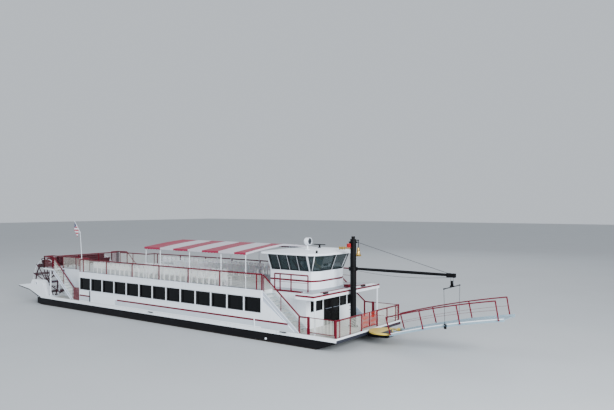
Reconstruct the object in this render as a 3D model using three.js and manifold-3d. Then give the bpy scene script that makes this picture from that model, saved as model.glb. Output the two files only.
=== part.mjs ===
// Stern-wheel excursion boat with a swinging landing stage, as a 1:2 scale model.
// Every length below is full size, in millimetres, and the whole group is halved at the end.
// x points to the bow, y to port and z up. The origin is on the centreline, on the hull's flat bottom.
import * as THREE from 'three';
import { mergeVertices } from 'three/addons/utils/BufferGeometryUtils.js';
import Module from 'manifold-3d';

const wasm = await Module();
wasm.setup();

const SCALE = 1 / 2;
const SEAT = 0.6;
const BOW = 15500;
const HALF_BEAM = 3950;
// The light waterline, from which heights are measured. With people on board the boat floats 250 mm deeper
const WATER = 850;
const STARBOARD = -1;
const PORT = 1;
const SIDES = [['starboard', STARBOARD], ['port', PORT]];

// Heights above the hull's bottom
const DECK = WATER + 1080;
const DECK_THICKNESS = 240;
const HULL_TOP = DECK - DECK_THICKNESS;
const UPPER_DECK = WATER + 3490;
const FLOOR_THICKNESS = 100;
const WALL_TOP = UPPER_DECK - FLOOR_THICKNESS;
const WINDOW_BAND_TOP = WATER + 3030;
const RAIL_HEIGHT = 1070;

// Stations are counted from the bow edge towards the stern
const CANOPY_FRONT = 1600;
const FORWARD_CABIN_FRONT = 3000;
const CABIN_FRONT = 5700;
const CABIN_AFT = 25600;
const STERN_HOUSE_AFT = 29200;
const TRANSOM = 29350;
const UPPER_DECK_AFT = 30100;
const LANDING_AFT = 30950;

// Distances from the centreline
const FORWARD_CABIN_HALF = 2850;
const STERN_HOUSE_HALF = 3000;
const BOW_WELL_HALF = 2900;
const STERN_WELL_HALF = 3050;
const WALL = 100;

const station = (aft) => BOW - aft;

// Finishes
const finish = (color, roughness, metalness = 0) => new THREE.MeshStandardMaterial({ color, roughness, metalness });
const WHITE = finish('#e8ecf2', 0.45);
const HULL_BLACK = finish('#1c1a22', 0.5);
const RAIL_RED = finish('#d41f2c', 0.4);
const WHEEL_RED = finish('#8c1530', 0.55);
const GLASS = finish('#10151a', 0.1);
const MAST_BLACK = finish('#15151a', 0.4);
const BRASS = finish('#b9954a', 0.35, 1);
const YELLOW = finish('#cbb048', 0.55);
const STAGE_GREY = finish('#b9c4d2', 0.5);
const AWNING_CLOTH = finish('#c2475f', 0.8);
const FLAG_CLOTH = finish('#c8c9d6', 0.8);
const CHAIR_WHITE = finish('#f1f2f4', 0.5);
const STEEL_GREY = finish('#6d7480', 0.5, 0.6);
const GATE_BROWN = finish('#8d4a48', 0.6);

// A closed solid from a geometry: only positions are kept, and flat triangles are dropped
function toSolid(geometry) {
  const plain = geometry.clone();
  plain.deleteAttribute('normal');
  plain.deleteAttribute('uv');
  const merged = mergeVertices(plain, 1e-3);
  const corners = merged.index.array;
  const kept = [];
  for (let i = 0; i < corners.length; i += 3) {
    const [a, b, c] = [corners[i], corners[i + 1], corners[i + 2]];
    if (a !== b && b !== c && c !== a) kept.push(a, b, c);
  }
  return new wasm.Manifold(new wasm.Mesh({
    numProp: 3,
    vertProperties: merged.attributes.position.array,
    triVerts: new Uint32Array(kept),
  }));
}

function toGeometry(solid) {
  const mesh = solid.getMesh();
  const geometry = new THREE.BufferGeometry();
  geometry.setAttribute('position', new THREE.BufferAttribute(mesh.vertProperties, 3));
  geometry.setIndex(new THREE.BufferAttribute(mesh.triVerts, 1));
  geometry.computeVertexNormals();
  return geometry;
}

function fuse(pieces, cuts = []) {
  const joined = pieces.map(toSolid).reduce((sum, piece) => sum.add(piece));
  return toGeometry(cuts.map(toSolid).reduce((rest, cut) => rest.subtract(cut), joined));
}

// A box between two opposite corners, given as pairs of x, y and z
function block([x0, x1], [y0, y1], [z0, z1]) {
  const geometry = new THREE.BoxGeometry(Math.abs(x1 - x0), Math.abs(y1 - y0), Math.abs(z1 - z0));
  return geometry.translate((x0 + x1) / 2, (y0 + y1) / 2, (z0 + z1) / 2);
}

// A closed outline in the side view, as pairs of x and z, carried across the boat from y0 to y1
function sidePlate(outline, [y0, y1]) {
  const shape = new THREE.Shape(outline.map(([x, z]) => new THREE.Vector2(x, z)));
  const geometry = new THREE.ExtrudeGeometry(shape, { depth: Math.abs(y1 - y0), bevelEnabled: false });
  return geometry.rotateX(Math.PI / 2).translate(0, Math.max(y0, y1), 0);
}

// A closed outline in plan, as pairs of x and y, raised from z0 to z1
function planPlate(outline, [z0, z1]) {
  const shape = new THREE.Shape(outline.map(([x, y]) => new THREE.Vector2(x, y)));
  return new THREE.ExtrudeGeometry(shape, { depth: z1 - z0, bevelEnabled: false }).translate(0, 0, z0);
}

// A tapered plan plate: corner i of the low outline runs straight up to corner i of the high one
function taperedPlate(low, high, [z0, z1]) {
  const geometry = planPlate(low, [z0, z1]);
  const position = geometry.attributes.position;
  for (let i = 0; i < position.count; i += 1) {
    if (position.getZ(i) < (z0 + z1) / 2) continue;
    const corner = low.findIndex(([x, y]) => Math.hypot(x - position.getX(i), y - position.getY(i)) < 0.01);
    position.setXY(i, high[corner][0], high[corner][1]);
  }
  return geometry;
}

// The turn that lays a geometry's x axis along a line and keeps its z axis as upright as it can be
function layAlong(geometry, from, to) {
  const start = new THREE.Vector3(...from);
  const end = new THREE.Vector3(...to);
  const along = end.clone().sub(start).normalize();
  const upright = Math.abs(along.z) > 0.999 ? new THREE.Vector3(1, 0, 0) : new THREE.Vector3(0, 0, 1);
  const across = upright.clone().cross(along).normalize();
  const up = along.clone().cross(across);
  geometry.applyMatrix4(new THREE.Matrix4().makeBasis(along, across, up));
  const middle = start.add(end).multiplyScalar(0.5);
  return geometry.translate(middle.x, middle.y, middle.z);
}

const distance = (a, b) => Math.hypot(b[0] - a[0], b[1] - a[1], b[2] - a[2]);

function bar(from, to, width, height = width) {
  return layAlong(new THREE.BoxGeometry(distance(from, to), width, height), from, to);
}

function rod(from, to, radius, sides = 8) {
  const round = new THREE.CylinderGeometry(radius, radius, distance(from, to), sides);
  return layAlong(round.rotateZ(Math.PI / 2), from, to);
}

function disc([x, y], radius, [z0, z1], sides = 32) {
  return new THREE.CylinderGeometry(radius, radius, z1 - z0, sides).rotateX(Math.PI / 2).translate(x, y, (z0 + z1) / 2);
}

const boat = new THREE.Group();
boat.scale.setScalar(SCALE);

function add(name, geometry, material) {
  const mesh = new THREE.Mesh(geometry, material);
  mesh.name = name;
  boat.add(mesh);
}

// Railings: a square top rail, posts at the given shares of its run, and a thin mesh sheet between them
const RAIL_BAR = 55;
const POST = 50;
const STAIR_POST = 34;
const SHEET = 12;
const LOW_RAIL = 90;

function railing(from, to, floor, posts, { height = RAIL_HEIGHT, sheet = true, middle = false } = {}) {
  const top = floor + height - RAIL_BAR / 2;
  const low = floor + LOW_RAIL;
  const at = (share, z) => [from[0] + (to[0] - from[0]) * share, from[1] + (to[1] - from[1]) * share, z];
  const pieces = [bar(at(0, top), at(1, top), RAIL_BAR)];
  if (sheet) pieces.push(bar(at(0, (top + low) / 2), at(1, (top + low) / 2), SHEET, top - low));
  if (middle) pieces.push(bar(at(0, floor + height / 2), at(1, floor + height / 2), RAIL_BAR * 0.7));
  for (const share of posts) pieces.push(bar(at(share, floor), at(share, top), POST));
  return pieces;
}

// Hull: a scow with raked ends, and side sponsons that carry the wheel beams past the transom
const BOW_FACE = WATER + 760;
const BOW_RAKE_FOOT = 4600;
const STERN_RAKE_FOOT = 25500;
const COUNTER_START = 28200;
const SPONSON_AFT = 31900;
const SPONSON_END_BOTTOM = WATER + 350;
const SPONSON_INNER = HALF_BEAM - 850;
const GUNWALE_PROUD = 40;

function makeHull() {
  const body = sidePlate([
    [station(0), HULL_TOP],
    [station(TRANSOM), HULL_TOP],
    [station(TRANSOM), WATER],
    [station(COUNTER_START), WATER],
    [station(STERN_RAKE_FOOT), 0],
    [station(BOW_RAKE_FOOT), 0],
    [station(0), BOW_FACE],
  ], [-HALF_BEAM, HALF_BEAM]);
  const sponsons = SIDES.map(([, side]) => sidePlate([
    [station(TRANSOM - 100), HULL_TOP],
    [station(SPONSON_AFT), HULL_TOP],
    [station(SPONSON_AFT), SPONSON_END_BOTTOM],
    [station(TRANSOM - 100), WATER],
  ], [side * SPONSON_INNER, side * HALF_BEAM]));
  add('hull', fuse([body, ...sponsons]), HULL_BLACK);
}

// The head log is a board on the deck's front edge, whose top stays below the turntable's disc
const LOG_FRONT = 60;
const LOG_HEIGHTS = [HULL_TOP - 60, HULL_TOP + 125];
// Cleats are welded to the deck edge: pairs of station and side
const CLEATS = [[3900, STARBOARD], [3900, PORT], [16500, STARBOARD], [16500, PORT]];

function makeMainDeck() {
  const edge = HALF_BEAM + GUNWALE_PROUD;
  const slab = block([station(-GUNWALE_PROUD), station(TRANSOM - 10)], [-edge, edge], [HULL_TOP, DECK]);
  const cleats = CLEATS.flatMap(([aft, side]) => {
    const y = side * (edge + 60);
    const z = HULL_TOP + 150;
    return [
      bar([station(aft) - 260, y, z + 50], [station(aft) + 260, y, z + 50], 50),
      bar([station(aft) - 90, side * (edge - 20), z], [station(aft) - 90, y, z + 50], 50),
      bar([station(aft) + 90, side * (edge - 20), z], [station(aft) + 90, y, z + 50], 50),
    ];
  });
  add('main_deck', fuse([slab, ...cleats]), WHITE);
  add('head_log', block([station(-GUNWALE_PROUD), station(-LOG_FRONT)], [-edge + 20, edge - 20], LOG_HEIGHTS), STEEL_GREY);
}

// Main cabin sides with their row of windows, and the plate that closes the space under the bow stair
const WINDOW_COUNT = 13;
const WINDOW_PITCH = 1524;
const WINDOW_WIDTH = 1330;
const FIRST_WINDOW = 5840;
const WINDOW_SILL = WATER + 2070;
const WINDOW_HEAD = WATER + 2970;
const CORNER_ROUND = 50;
const BOW_STAIR_FOOT = 2700;
const STERN_STAIR_FOOT = 26500;
const PANE = 12;

// A half-round moulding, drawn square, along the cabin's side at one height
const RIDGE_PROUD = 25;

function ridgeAlong(side, z) {
  return block([station(CABIN_FRONT + 60), station(CABIN_AFT - 60)],
    [side * (HALF_BEAM - 30), side * (HALF_BEAM + RIDGE_PROUD)], [z - 20, z + 20]);
}

function makeCabinSides() {
  for (const [word, side] of SIDES) {
    const outer = side * HALF_BEAM;
    const inner = side * (HALF_BEAM - WALL);
    const wall = block([station(CABIN_FRONT + CORNER_ROUND), station(CABIN_AFT)], [outer, inner], [DECK, WALL_TOP]);
    const corner = disc([station(CABIN_FRONT + CORNER_ROUND), outer - side * CORNER_ROUND], CORNER_ROUND,
      [DECK, WALL_TOP], 16);
    const shoulder = block([station(CABIN_FRONT), station(CABIN_FRONT + WALL)],
      [outer - side * CORNER_ROUND, inner], [DECK, WALL_TOP]);
    const underStair = sidePlate([
      [station(CABIN_FRONT + 50), DECK],
      [station(BOW_STAIR_FOOT + 350), DECK],
      [station(CABIN_FRONT + 50), WINDOW_BAND_TOP - 150],
    ], [outer, outer - side * 45]);
    const windows = [];
    for (let i = 0; i < WINDOW_COUNT; i += 1) {
      const start = FIRST_WINDOW + i * WINDOW_PITCH;
      windows.push(block([station(start), station(start + WINDOW_WIDTH)], [outer + side, inner - side],
        [WINDOW_SILL, WINDOW_HEAD]));
    }
    const ridge = ridgeAlong(side, WINDOW_BAND_TOP + 60);
    add(`cabin_side_${word}`, fuse([wall, corner, shoulder, underStair, ridge], windows), WHITE);
    const glassOuter = side * (HALF_BEAM - WALL - SEAT);
    add(`cabin_glass_${word}`, block([station(CABIN_FRONT + WALL + 10), station(CABIN_AFT - WALL - 10)],
      [glassOuter, glassOuter - side * PANE], [WINDOW_SILL - 60, WINDOW_BAND_TOP - 10]), GLASS);
  }
}

// Front wall openings, as pairs of distances from the centreline, with sill and head
const DOOR_HALF = 860;
const DOOR_HEAD = WATER + 2980;
const FRONT_WINDOWS = [[1040, 1820], [1980, 2330]];
const FRONT_SILL = DECK + RAIL_HEIGHT;
const FRONT_HEAD = WATER + 2930;

function makeForwardCabin() {
  const insideEdge = HALF_BEAM - WALL;
  const half = FORWARD_CABIN_HALF;
  const starboardHalf = [
    [station(CABIN_FRONT), insideEdge],
    [station(CABIN_FRONT), half],
    [station(FORWARD_CABIN_FRONT), half],
  ];
  const innerHalf = [
    [station(FORWARD_CABIN_FRONT + WALL), half - WALL],
    [station(CABIN_FRONT + WALL), half - WALL],
    [station(CABIN_FRONT + WALL), insideEdge],
  ];
  const flip = (points) => points.map(([x, y]) => [x, -y]).reverse();
  const outline = [...starboardHalf, ...flip(starboardHalf), ...flip(innerHalf), ...innerHalf];
  const front = [station(FORWARD_CABIN_FRONT) + 1, station(FORWARD_CABIN_FRONT + WALL) - 1];
  const cuts = [block(front, [-DOOR_HALF, DOOR_HALF], [DECK - 1, DOOR_HEAD])];
  for (const [, side] of SIDES) {
    for (const [near, far] of FRONT_WINDOWS) cuts.push(block(front, [side * near, side * far], [FRONT_SILL, FRONT_HEAD]));
  }
  add('forward_cabin_walls', fuse([planPlate(outline, [DECK, WALL_TOP])], cuts), WHITE);
}

// Stern house: the machinery space between the stern stairs, open to the cabin
const SHOULDER_DOOR = [3130, 3760];
const ENGINE_STATIONS = [26400, 28700];
const ENGINE_HALF = 1000;
const ENGINE_HEIGHT = 1350;

function makeSternHouse() {
  const insideEdge = HALF_BEAM - WALL;
  const half = STERN_HOUSE_HALF;
  const outerHalf = [
    [station(CABIN_AFT), insideEdge],
    [station(CABIN_AFT), half],
    [station(STERN_HOUSE_AFT), half],
  ];
  const innerHalf = [
    [station(STERN_HOUSE_AFT - WALL), half - WALL],
    [station(CABIN_AFT - WALL), half - WALL],
    [station(CABIN_AFT - WALL), insideEdge],
  ];
  const flip = (points) => points.map(([x, y]) => [x, -y]).reverse();
  const outline = [...outerHalf, ...flip(outerHalf), ...flip(innerHalf), ...innerHalf];
  const cuts = SIDES.map(([, side]) => block([station(CABIN_AFT - WALL) + 1, station(CABIN_AFT) - 1],
    SHOULDER_DOOR.map((y) => side * y), [DECK - 1, DOOR_HEAD]));
  add('stern_house_walls', fuse([planPlate(outline, [DECK, WALL_TOP])], cuts), WHITE);
  add('engine', block(ENGINE_STATIONS.map(station), [-ENGINE_HALF, ENGINE_HALF], [DECK, DECK + ENGINE_HEIGHT]),
    STEEL_GREY);
}

// Upper deck: a floor with stairwell notches, a canopy slab that is thicker and falls off to its edges, ridges
// along the sides and stanchions
const CANOPY_SOFFIT = WATER + 3160;
const CANOPY_EDGE = WATER + 3430;
const CANOPY_FALL = 400;
const STERN_STAIR_TOP = 29500;
const STANCHION = 80;
const STANCHIONS = [[1660, 3750], [30150, 3750]];

function makeUpperDeck() {
  const halfOutline = [
    [station(FORWARD_CABIN_FRONT - 50), BOW_WELL_HALF],
    [station(CABIN_FRONT), BOW_WELL_HALF],
    [station(CABIN_FRONT), HALF_BEAM],
    [station(CABIN_AFT), HALF_BEAM],
    [station(CABIN_AFT), STERN_WELL_HALF],
    [station(STERN_STAIR_TOP), STERN_WELL_HALF],
    [station(STERN_STAIR_TOP), HALF_BEAM],
    [station(LANDING_AFT), HALF_BEAM],
    [station(LANDING_AFT), STERN_WELL_HALF],
    [station(UPPER_DECK_AFT), STERN_WELL_HALF],
  ];
  const outline = [...halfOutline, ...halfOutline.map(([x, y]) => [x, -y]).reverse()];
  const canopy = (front, half) => [
    [station(front), -half],
    [station(front), half],
    [station(FORWARD_CABIN_FRONT), half],
    [station(FORWARD_CABIN_FRONT), -half],
  ];
  const edge = canopy(CANOPY_FRONT, HALF_BEAM);
  const pieces = [
    planPlate(outline, [WALL_TOP, UPPER_DECK]),
    planPlate(edge, [CANOPY_SOFFIT, CANOPY_EDGE]),
    taperedPlate(edge, canopy(CANOPY_FRONT + CANOPY_FALL, HALF_BEAM - CANOPY_FALL), [CANOPY_EDGE, UPPER_DECK]),
  ];
  for (const [, side] of SIDES) {
    pieces.push(ridgeAlong(side, UPPER_DECK - 60));
    for (const [aft, y] of STANCHIONS) {
      pieces.push(block([station(aft) - STANCHION / 2, station(aft) + STANCHION / 2],
        [side * y - STANCHION / 2, side * y + STANCHION / 2], [DECK, Math.min(CANOPY_EDGE, WALL_TOP + 5)]));
    }
  }
  add('upper_deck', fuse(pieces), WHITE);
}

// Upper rails: side rails with the guard round the stern stairwell, the stern rail with both landings, and
// the balcony rails beside the pilot house
const RAIL_LINE = HALF_BEAM - 50;
const SIDE_POSTS = [5750, 6200, 9500, 12600, 15700, 18800, 22000, 25100, 25550];
const WELL_GUARD = STERN_WELL_HALF - 50;
const WELL_GUARD_POSTS = [25550, 27500, 29400];
const LANDING_INNER = STERN_WELL_HALF + 60;
const STERN_RAIL = UPPER_DECK_AFT - 60;
const BALCONY_LINE = BOW_WELL_HALF - 60;
const BALCONY_POSTS = [2850, 4200, 5100, 5550];

const sharesOf = (places) => places.map((place) => (place - places[0]) / (places[places.length - 1] - places[0]));

function makeUpperRails() {
  for (const [word, side] of SIDES) {
    const first = SIDE_POSTS[0];
    const last = SIDE_POSTS[SIDE_POSTS.length - 1];
    const rail = side * RAIL_LINE;
    const guard = side * WELL_GUARD;
    add(`upper_rail_${word}`, fuse([
      ...railing([station(first), rail], [station(last), rail], UPPER_DECK, sharesOf(SIDE_POSTS)),
      ...railing([station(last), rail], [station(last), guard], UPPER_DECK, [1]),
      ...railing([station(last), guard], [station(WELL_GUARD_POSTS[2]), guard], UPPER_DECK, sharesOf(WELL_GUARD_POSTS)),
    ]), RAIL_RED);
    add(`balcony_rail_${word}`, fuse(railing([station(BALCONY_POSTS[0]), side * BALCONY_LINE],
      [station(BALCONY_POSTS[3]), side * BALCONY_LINE], UPPER_DECK, sharesOf(BALCONY_POSTS),
      { sheet: false, middle: true })), RAIL_RED);
  }
  const landing = [
    [station(STERN_STAIR_TOP + 50), RAIL_LINE],
    [station(LANDING_AFT - 50), RAIL_LINE],
    [station(LANDING_AFT - 50), LANDING_INNER],
    [station(STERN_RAIL), LANDING_INNER],
  ];
  const path = [...landing, ...landing.map(([x, y]) => [x, -y]).reverse()];
  const pieces = [];
  for (let i = 1; i < path.length; i += 1) {
    pieces.push(...railing(path[i - 1], path[i], UPPER_DECK, i === 4 ? [0, 0.33, 0.67, 1] : [0, 1]));
  }
  add('upper_rail_stern', fuse(pieces), RAIL_RED);
}

// A stair beside the side: two stringers, treads, an outboard handrail with posts, and a mesh sheet below it
const STAIR_STEPS = 11;
const STRINGER = 40;
const STRINGER_DEPTH = 260;
const TREAD = 40;
const TREAD_DROP = 25;
const HANDRAIL = 1020;

function stairPieces(side, footStation, topStation, outerY, innerY) {
  const footX = station(footStation);
  const topX = station(topStation) + Math.sign(station(footStation) - station(topStation)) * SEAT;
  const rise = UPPER_DECK - DECK;
  const run = topX - footX;
  const heightAt = (x) => DECK + (x - footX) * rise / run;
  const shift = Math.sign(run) * STRINGER_DEPTH / Math.sin(Math.atan2(rise, Math.abs(run)));
  const stringer = [
    [footX, DECK],
    [footX + shift, DECK],
    [topX, heightAt(topX - shift)],
    [topX, UPPER_DECK],
  ];
  const outer = side * outerY;
  const inner = side * innerY;
  const pieces = [
    sidePlate(stringer, [outer, outer - side * STRINGER]),
    sidePlate(stringer, [inner, inner + side * STRINGER]),
  ];
  for (let i = 1; i < STAIR_STEPS; i += 1) {
    const z = DECK + rise * i / STAIR_STEPS - TREAD_DROP;
    const x = footX + run * i / STAIR_STEPS;
    const back = x + Math.sign(run) * 250;
    pieces.push(block([x, back], [outer - side * 5, inner + side * 5], [z - TREAD, z]));
  }
  const railY = outer - side * (STRINGER / 2);
  const above = (x, lift) => [x, railY, heightAt(x) + lift];
  const start = footX + Math.sign(run) * 40;
  const end = topX - Math.sign(run) * 30;
  pieces.push(bar(above(start, HANDRAIL), above(end, HANDRAIL), RAIL_BAR));
  pieces.push(sidePlate([
    [start, heightAt(start) - 10],
    [end, heightAt(end) - 10],
    [end, heightAt(end) + HANDRAIL],
    [start, heightAt(start) + HANDRAIL],
  ], [railY - SHEET / 2, railY + SHEET / 2]));
  for (const share of [0.02, 0.5, 0.98]) {
    const x = start + (end - start) * share;
    pieces.push(bar([x, railY, heightAt(x) - 15], [x, railY, heightAt(x) + HANDRAIL], STAIR_POST));
  }
  return pieces;
}

// The side gate hangs between the bow corner post and a thick post ahead of the bow stair
const GATE_POST_STATION = 2080;
const THICK_POST = 110;

function makeStairs() {
  for (const [word, side] of SIDES) {
    const bowStair = stairPieces(side, BOW_STAIR_FOOT, CABIN_FRONT, HALF_BEAM - 60, BOW_WELL_HALF + 10);
    const railY = side * (HALF_BEAM - 80);
    bowStair.push(...railing([station(BOW_STAIR_FOOT + 40), railY], [station(GATE_POST_STATION), railY], DECK, [0]));
    bowStair.push(bar([station(GATE_POST_STATION), railY, DECK], [station(GATE_POST_STATION), railY, DECK + RAIL_HEIGHT + 15],
      THICK_POST));
    add(`stair_bow_${word}`, fuse(bowStair), WHITE);
    add(`stair_stern_${word}`, fuse(stairPieces(side, STERN_STAIR_FOOT, STERN_STAIR_TOP, HALF_BEAM - 60,
      STERN_WELL_HALF + 20)), WHITE);
  }
}

// Bow rails leave an opening ahead of the mast for the stage
const BOW_RAIL_X = station(60);
const BOW_OPENING_HALF = 1000;
const BOW_POSTS = [0, 0.14, 0.55, 1];

function makeBowRails() {
  for (const [word, side] of SIDES) {
    const corner = side * (HALF_BEAM - 80);
    const end = side * BOW_OPENING_HALF;
    add(`bow_rail_${word}`, fuse([
      ...railing([BOW_RAIL_X, corner], [BOW_RAIL_X, end], DECK, BOW_POSTS),
      bar([BOW_RAIL_X, corner, DECK], [BOW_RAIL_X, corner, DECK + RAIL_HEIGHT + 15], THICK_POST),
    ]), RAIL_RED);
  }
}

// A swinging leaf: a hinge tube that stands on the floor, stiles and rails, and bars or a sheet between them
function gateLeaf([hingeX, hingeY], [endX, endY], floor, height, { sheet = false, pickets = 0, lift = 150 } = {}) {
  const tube = 32;
  const low = floor + lift;
  const top = floor + height - RAIL_BAR / 2;
  const at = (share, z) => [hingeX + (endX - hingeX) * share, hingeY + (endY - hingeY) * share, z];
  const pieces = [
    rod([hingeX, hingeY, floor + SEAT], [hingeX, hingeY, floor + height], tube),
    bar(at(0, low), at(1, low), RAIL_BAR * 0.8),
    bar(at(0, top), at(1, top), RAIL_BAR * 0.8),
    bar(at(0.985, low), at(0.985, top), RAIL_BAR * 0.7),
  ];
  if (sheet) pieces.push(bar(at(0, (low + top) / 2), at(0.985, (low + top) / 2), SHEET, top - low));
  for (let i = 1; i <= pickets; i += 1) {
    pieces.push(bar(at(i / (pickets + 1), low), at(i / (pickets + 1), top), 20));
  }
  return pieces;
}

const GATE_HINGE_STATION = GATE_POST_STATION - THICK_POST / 2 - 45;
const GATE_END_STATION = 60 + THICK_POST / 2 + 20;
const BOW_GATE_HINGE = BOW_OPENING_HALF - POST / 2 - 45;
const STERN_GATE_STATIONS = [25660, 26420];
const STERN_GATE_LINE = HALF_BEAM - 50;

function makeGates() {
  for (const [word, side] of SIDES) {
    const sideLine = side * (HALF_BEAM - 80);
    add(`side_gate_${word}`, fuse(gateLeaf([station(GATE_HINGE_STATION), sideLine], [station(GATE_END_STATION), sideLine],
      DECK, RAIL_HEIGHT, { pickets: 2 })), RAIL_RED);
    add(`bow_gate_${word}`, fuse(gateLeaf([BOW_RAIL_X, side * BOW_GATE_HINGE], [BOW_RAIL_X, side * 15], DECK,
      RAIL_HEIGHT, { pickets: 1 })), RAIL_RED);
    add(`stern_gate_${word}`, fuse(gateLeaf([station(STERN_GATE_STATIONS[0]), side * STERN_GATE_LINE],
      [station(STERN_GATE_STATIONS[1]), side * STERN_GATE_LINE], DECK, RAIL_HEIGHT,
      { sheet: true, lift: 60 })), GATE_BROWN);
  }
}

// Doors hang on the outer face of their wall: a framed leaf with a glazed opening and a hinge tube
const LEAF = 45;
const DOOR_TUBE = 22;
const DOOR_OFF_WALL = 40;
const STILE = 90;
const KICK_PLATE = 700;

function doorLeaf(x, hingeY, endY, floor, head) {
  const low = floor + 15;
  const leaf = block([x - LEAF / 2, x + LEAF / 2], [hingeY, endY], [low, head]);
  const inward = Math.sign(endY - hingeY);
  const pane = block([x - LEAF, x + LEAF], [hingeY + inward * STILE, endY - inward * STILE], [low + KICK_PLATE, head - STILE]);
  const tube = rod([x, hingeY, floor + SEAT], [x, hingeY, head], DOOR_TUBE, 12);
  return fuse([leaf, tube], [pane]);
}

const PILOT_AFT = 6700;
const PILOT_DOOR_HALF = 420;
const PILOT_DOOR_HEAD = UPPER_DECK + 1950;

function makeDoors() {
  const frontX = station(FORWARD_CABIN_FRONT) + DOOR_OFF_WALL;
  for (const [word, side] of SIDES) {
    add(`front_door_${word}`, doorLeaf(frontX, side * (DOOR_HALF + 30), side * 8, DECK, DOOR_HEAD + 20), GLASS);
  }
  add('pilot_door', doorLeaf(station(PILOT_AFT) - DOOR_OFF_WALL, -PILOT_DOOR_HALF - 30, PILOT_DOOR_HALF + 30, UPPER_DECK,
    PILOT_DOOR_HEAD + 20), WHITE);
}

// Pilot house: three-facet front, upright walls to the sill, then windows that lean out to the roof
const PILOT_SILL = WATER + 4650;
const PILOT_HEAD = WATER + 5730;
const PILOT_WALL = 70;
const LEAN = 440;
// Plan corners of the starboard half, from the front centre facet to the aft wall: station, distance from
// the centreline, and how far each leans forward and outward at the head
const PILOT_CORNERS = [
  [3000, 1250, LEAN, 100],
  [3285, 1850, 400, 200],
  [3330, 1880, 30, LEAN],
  [PILOT_AFT, 1880, 0, LEAN],
];
const PANE_MARGIN = 35;
// Window rows of the starboard half: first corner, how many panes, share of the edge where they start and end.
// The first row runs on round the front corner, where the wide front pane meets it
const PILOT_PANES = [[0, 1, -0.08, 0.93], [1, 1, 0.12, 0.88], [2, 4, 0.03, 0.97]];
// Shares of the front facet's half width between which each of the two front panes lies
const FRONT_PANE = [0.035, 1.04];

function pilotOutline(inset, share) {
  const half = PILOT_CORNERS.map(([aft, y, forward, outward], i) => {
    const x = station(aft) + forward * share - (i < 3 ? inset : -inset);
    return [x, y + outward * share - inset * (i === 0 ? 0.4 : 1)];
  });
  return [...half.map(([x, y]) => [x, -y]), ...half.reverse()];
}

function pilotShell(outerInset, thickness, [z0, z1]) {
  const outer = taperedPlate(pilotOutline(outerInset, 0), pilotOutline(outerInset, 1), [z0, z1]);
  const hollow = taperedPlate(pilotOutline(outerInset + thickness, 0), pilotOutline(outerInset + thickness, 1), [z0, z1]);
  return { outer, hollow };
}

// A cutter through one leaning wall, between two shares of the edge from corner a to corner b
function paneCutter(a, b, [start, end]) {
  const quad = (level) => {
    const outline = pilotOutline(0, level);
    const along = [outline[b][0] - outline[a][0], outline[b][1] - outline[a][1]];
    const length = Math.hypot(...along);
    const out = [along[1] / length * 160, -along[0] / length * 160];
    const point = (share) => [outline[a][0] + along[0] * share, outline[a][1] + along[1] * share];
    const [p, q] = [point(start), point(end)];
    return [[p[0] - out[0], p[1] - out[1]], [q[0] - out[0], q[1] - out[1]], [q[0] + out[0], q[1] + out[1]],
      [p[0] + out[0], p[1] + out[1]]];
  };
  return taperedPlate(quad(0), quad(1), [PILOT_SILL + PANE_MARGIN, PILOT_HEAD - PANE_MARGIN]);
}

function makePilotHouse() {
  const straight = pilotOutline(0, 0);
  const straightInner = pilotOutline(PILOT_WALL, 0);
  const lowWall = planPlate(straight, [UPPER_DECK, PILOT_SILL]);
  const lowHollow = planPlate(straightInner, [UPPER_DECK - 1, PILOT_SILL + 1]);
  const band = pilotShell(0, PILOT_WALL, [PILOT_SILL, PILOT_HEAD]);
  const last = straight.length - 1;
  const cuts = [lowHollow, band.hollow];
  for (const [corner, count, first, final] of PILOT_PANES) {
    for (let i = 0; i < count; i += 1) {
      const gap = count > 1 ? 0.012 : 0;
      const shares = [first + (final - first) * i / count + gap, first + (final - first) * (i + 1) / count - gap];
      cuts.push(paneCutter(corner, corner + 1, shares));
      cuts.push(paneCutter(last - corner - 1, last - corner, [1 - shares[1], 1 - shares[0]]));
    }
  }
  const frontWidth = PILOT_CORNERS[0][1];
  const frontX = station(PILOT_CORNERS[0][0]);
  for (const [, side] of SIDES) {
    const [near, far] = side > 0 ? FRONT_PANE : [-FRONT_PANE[1], -FRONT_PANE[0]];
    const quad = (shift, width) => [[frontX + shift - 160, near * width], [frontX + shift + 160, near * width],
      [frontX + shift + 160, far * width], [frontX + shift - 160, far * width]];
    cuts.push(taperedPlate(quad(0, frontWidth), quad(LEAN, frontWidth + 100),
      [PILOT_SILL + PANE_MARGIN, PILOT_HEAD - PANE_MARGIN]));
  }
  cuts.push(block([station(PILOT_AFT) - 10, station(PILOT_AFT) + PILOT_WALL + 10], [-PILOT_DOOR_HALF, PILOT_DOOR_HALF],
    [UPPER_DECK - 1, PILOT_DOOR_HEAD]));
  add('pilot_house_walls', fuse([lowWall, band.outer], cuts), WHITE);
}

const PANE_SEAT = PILOT_WALL + SEAT;
const ROOF_EDGE = [PILOT_HEAD, WATER + 5850];
const ROOF_TOP = WATER + 6020;
const ROOF_OVERHANG = 250;
const ROOF_FLAT_INSET = 650;

function makePilotRoof() {
  const pane = pilotShell(PANE_SEAT, PANE, [PILOT_SILL, PILOT_HEAD]);
  // No pane stands across the aft wall, where the door is
  const aftGap = block([station(PILOT_AFT) - 10, station(PILOT_AFT) + 2 * PILOT_WALL],
    [-PILOT_CORNERS[0][1], PILOT_CORNERS[0][1]], [PILOT_SILL - 1, PILOT_HEAD + 1]);
  add('pilot_house_glass', fuse([pane.outer], [pane.hollow, aftGap]), GLASS);
  add('pilot_house_roof', fuse([
    planPlate(pilotOutline(-ROOF_OVERHANG, 1), ROOF_EDGE),
    taperedPlate(pilotOutline(-ROOF_OVERHANG, 1), pilotOutline(ROOF_FLAT_INSET, 1), [ROOF_EDGE[1], ROOF_TOP]),
  ]), WHITE);
}

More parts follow.
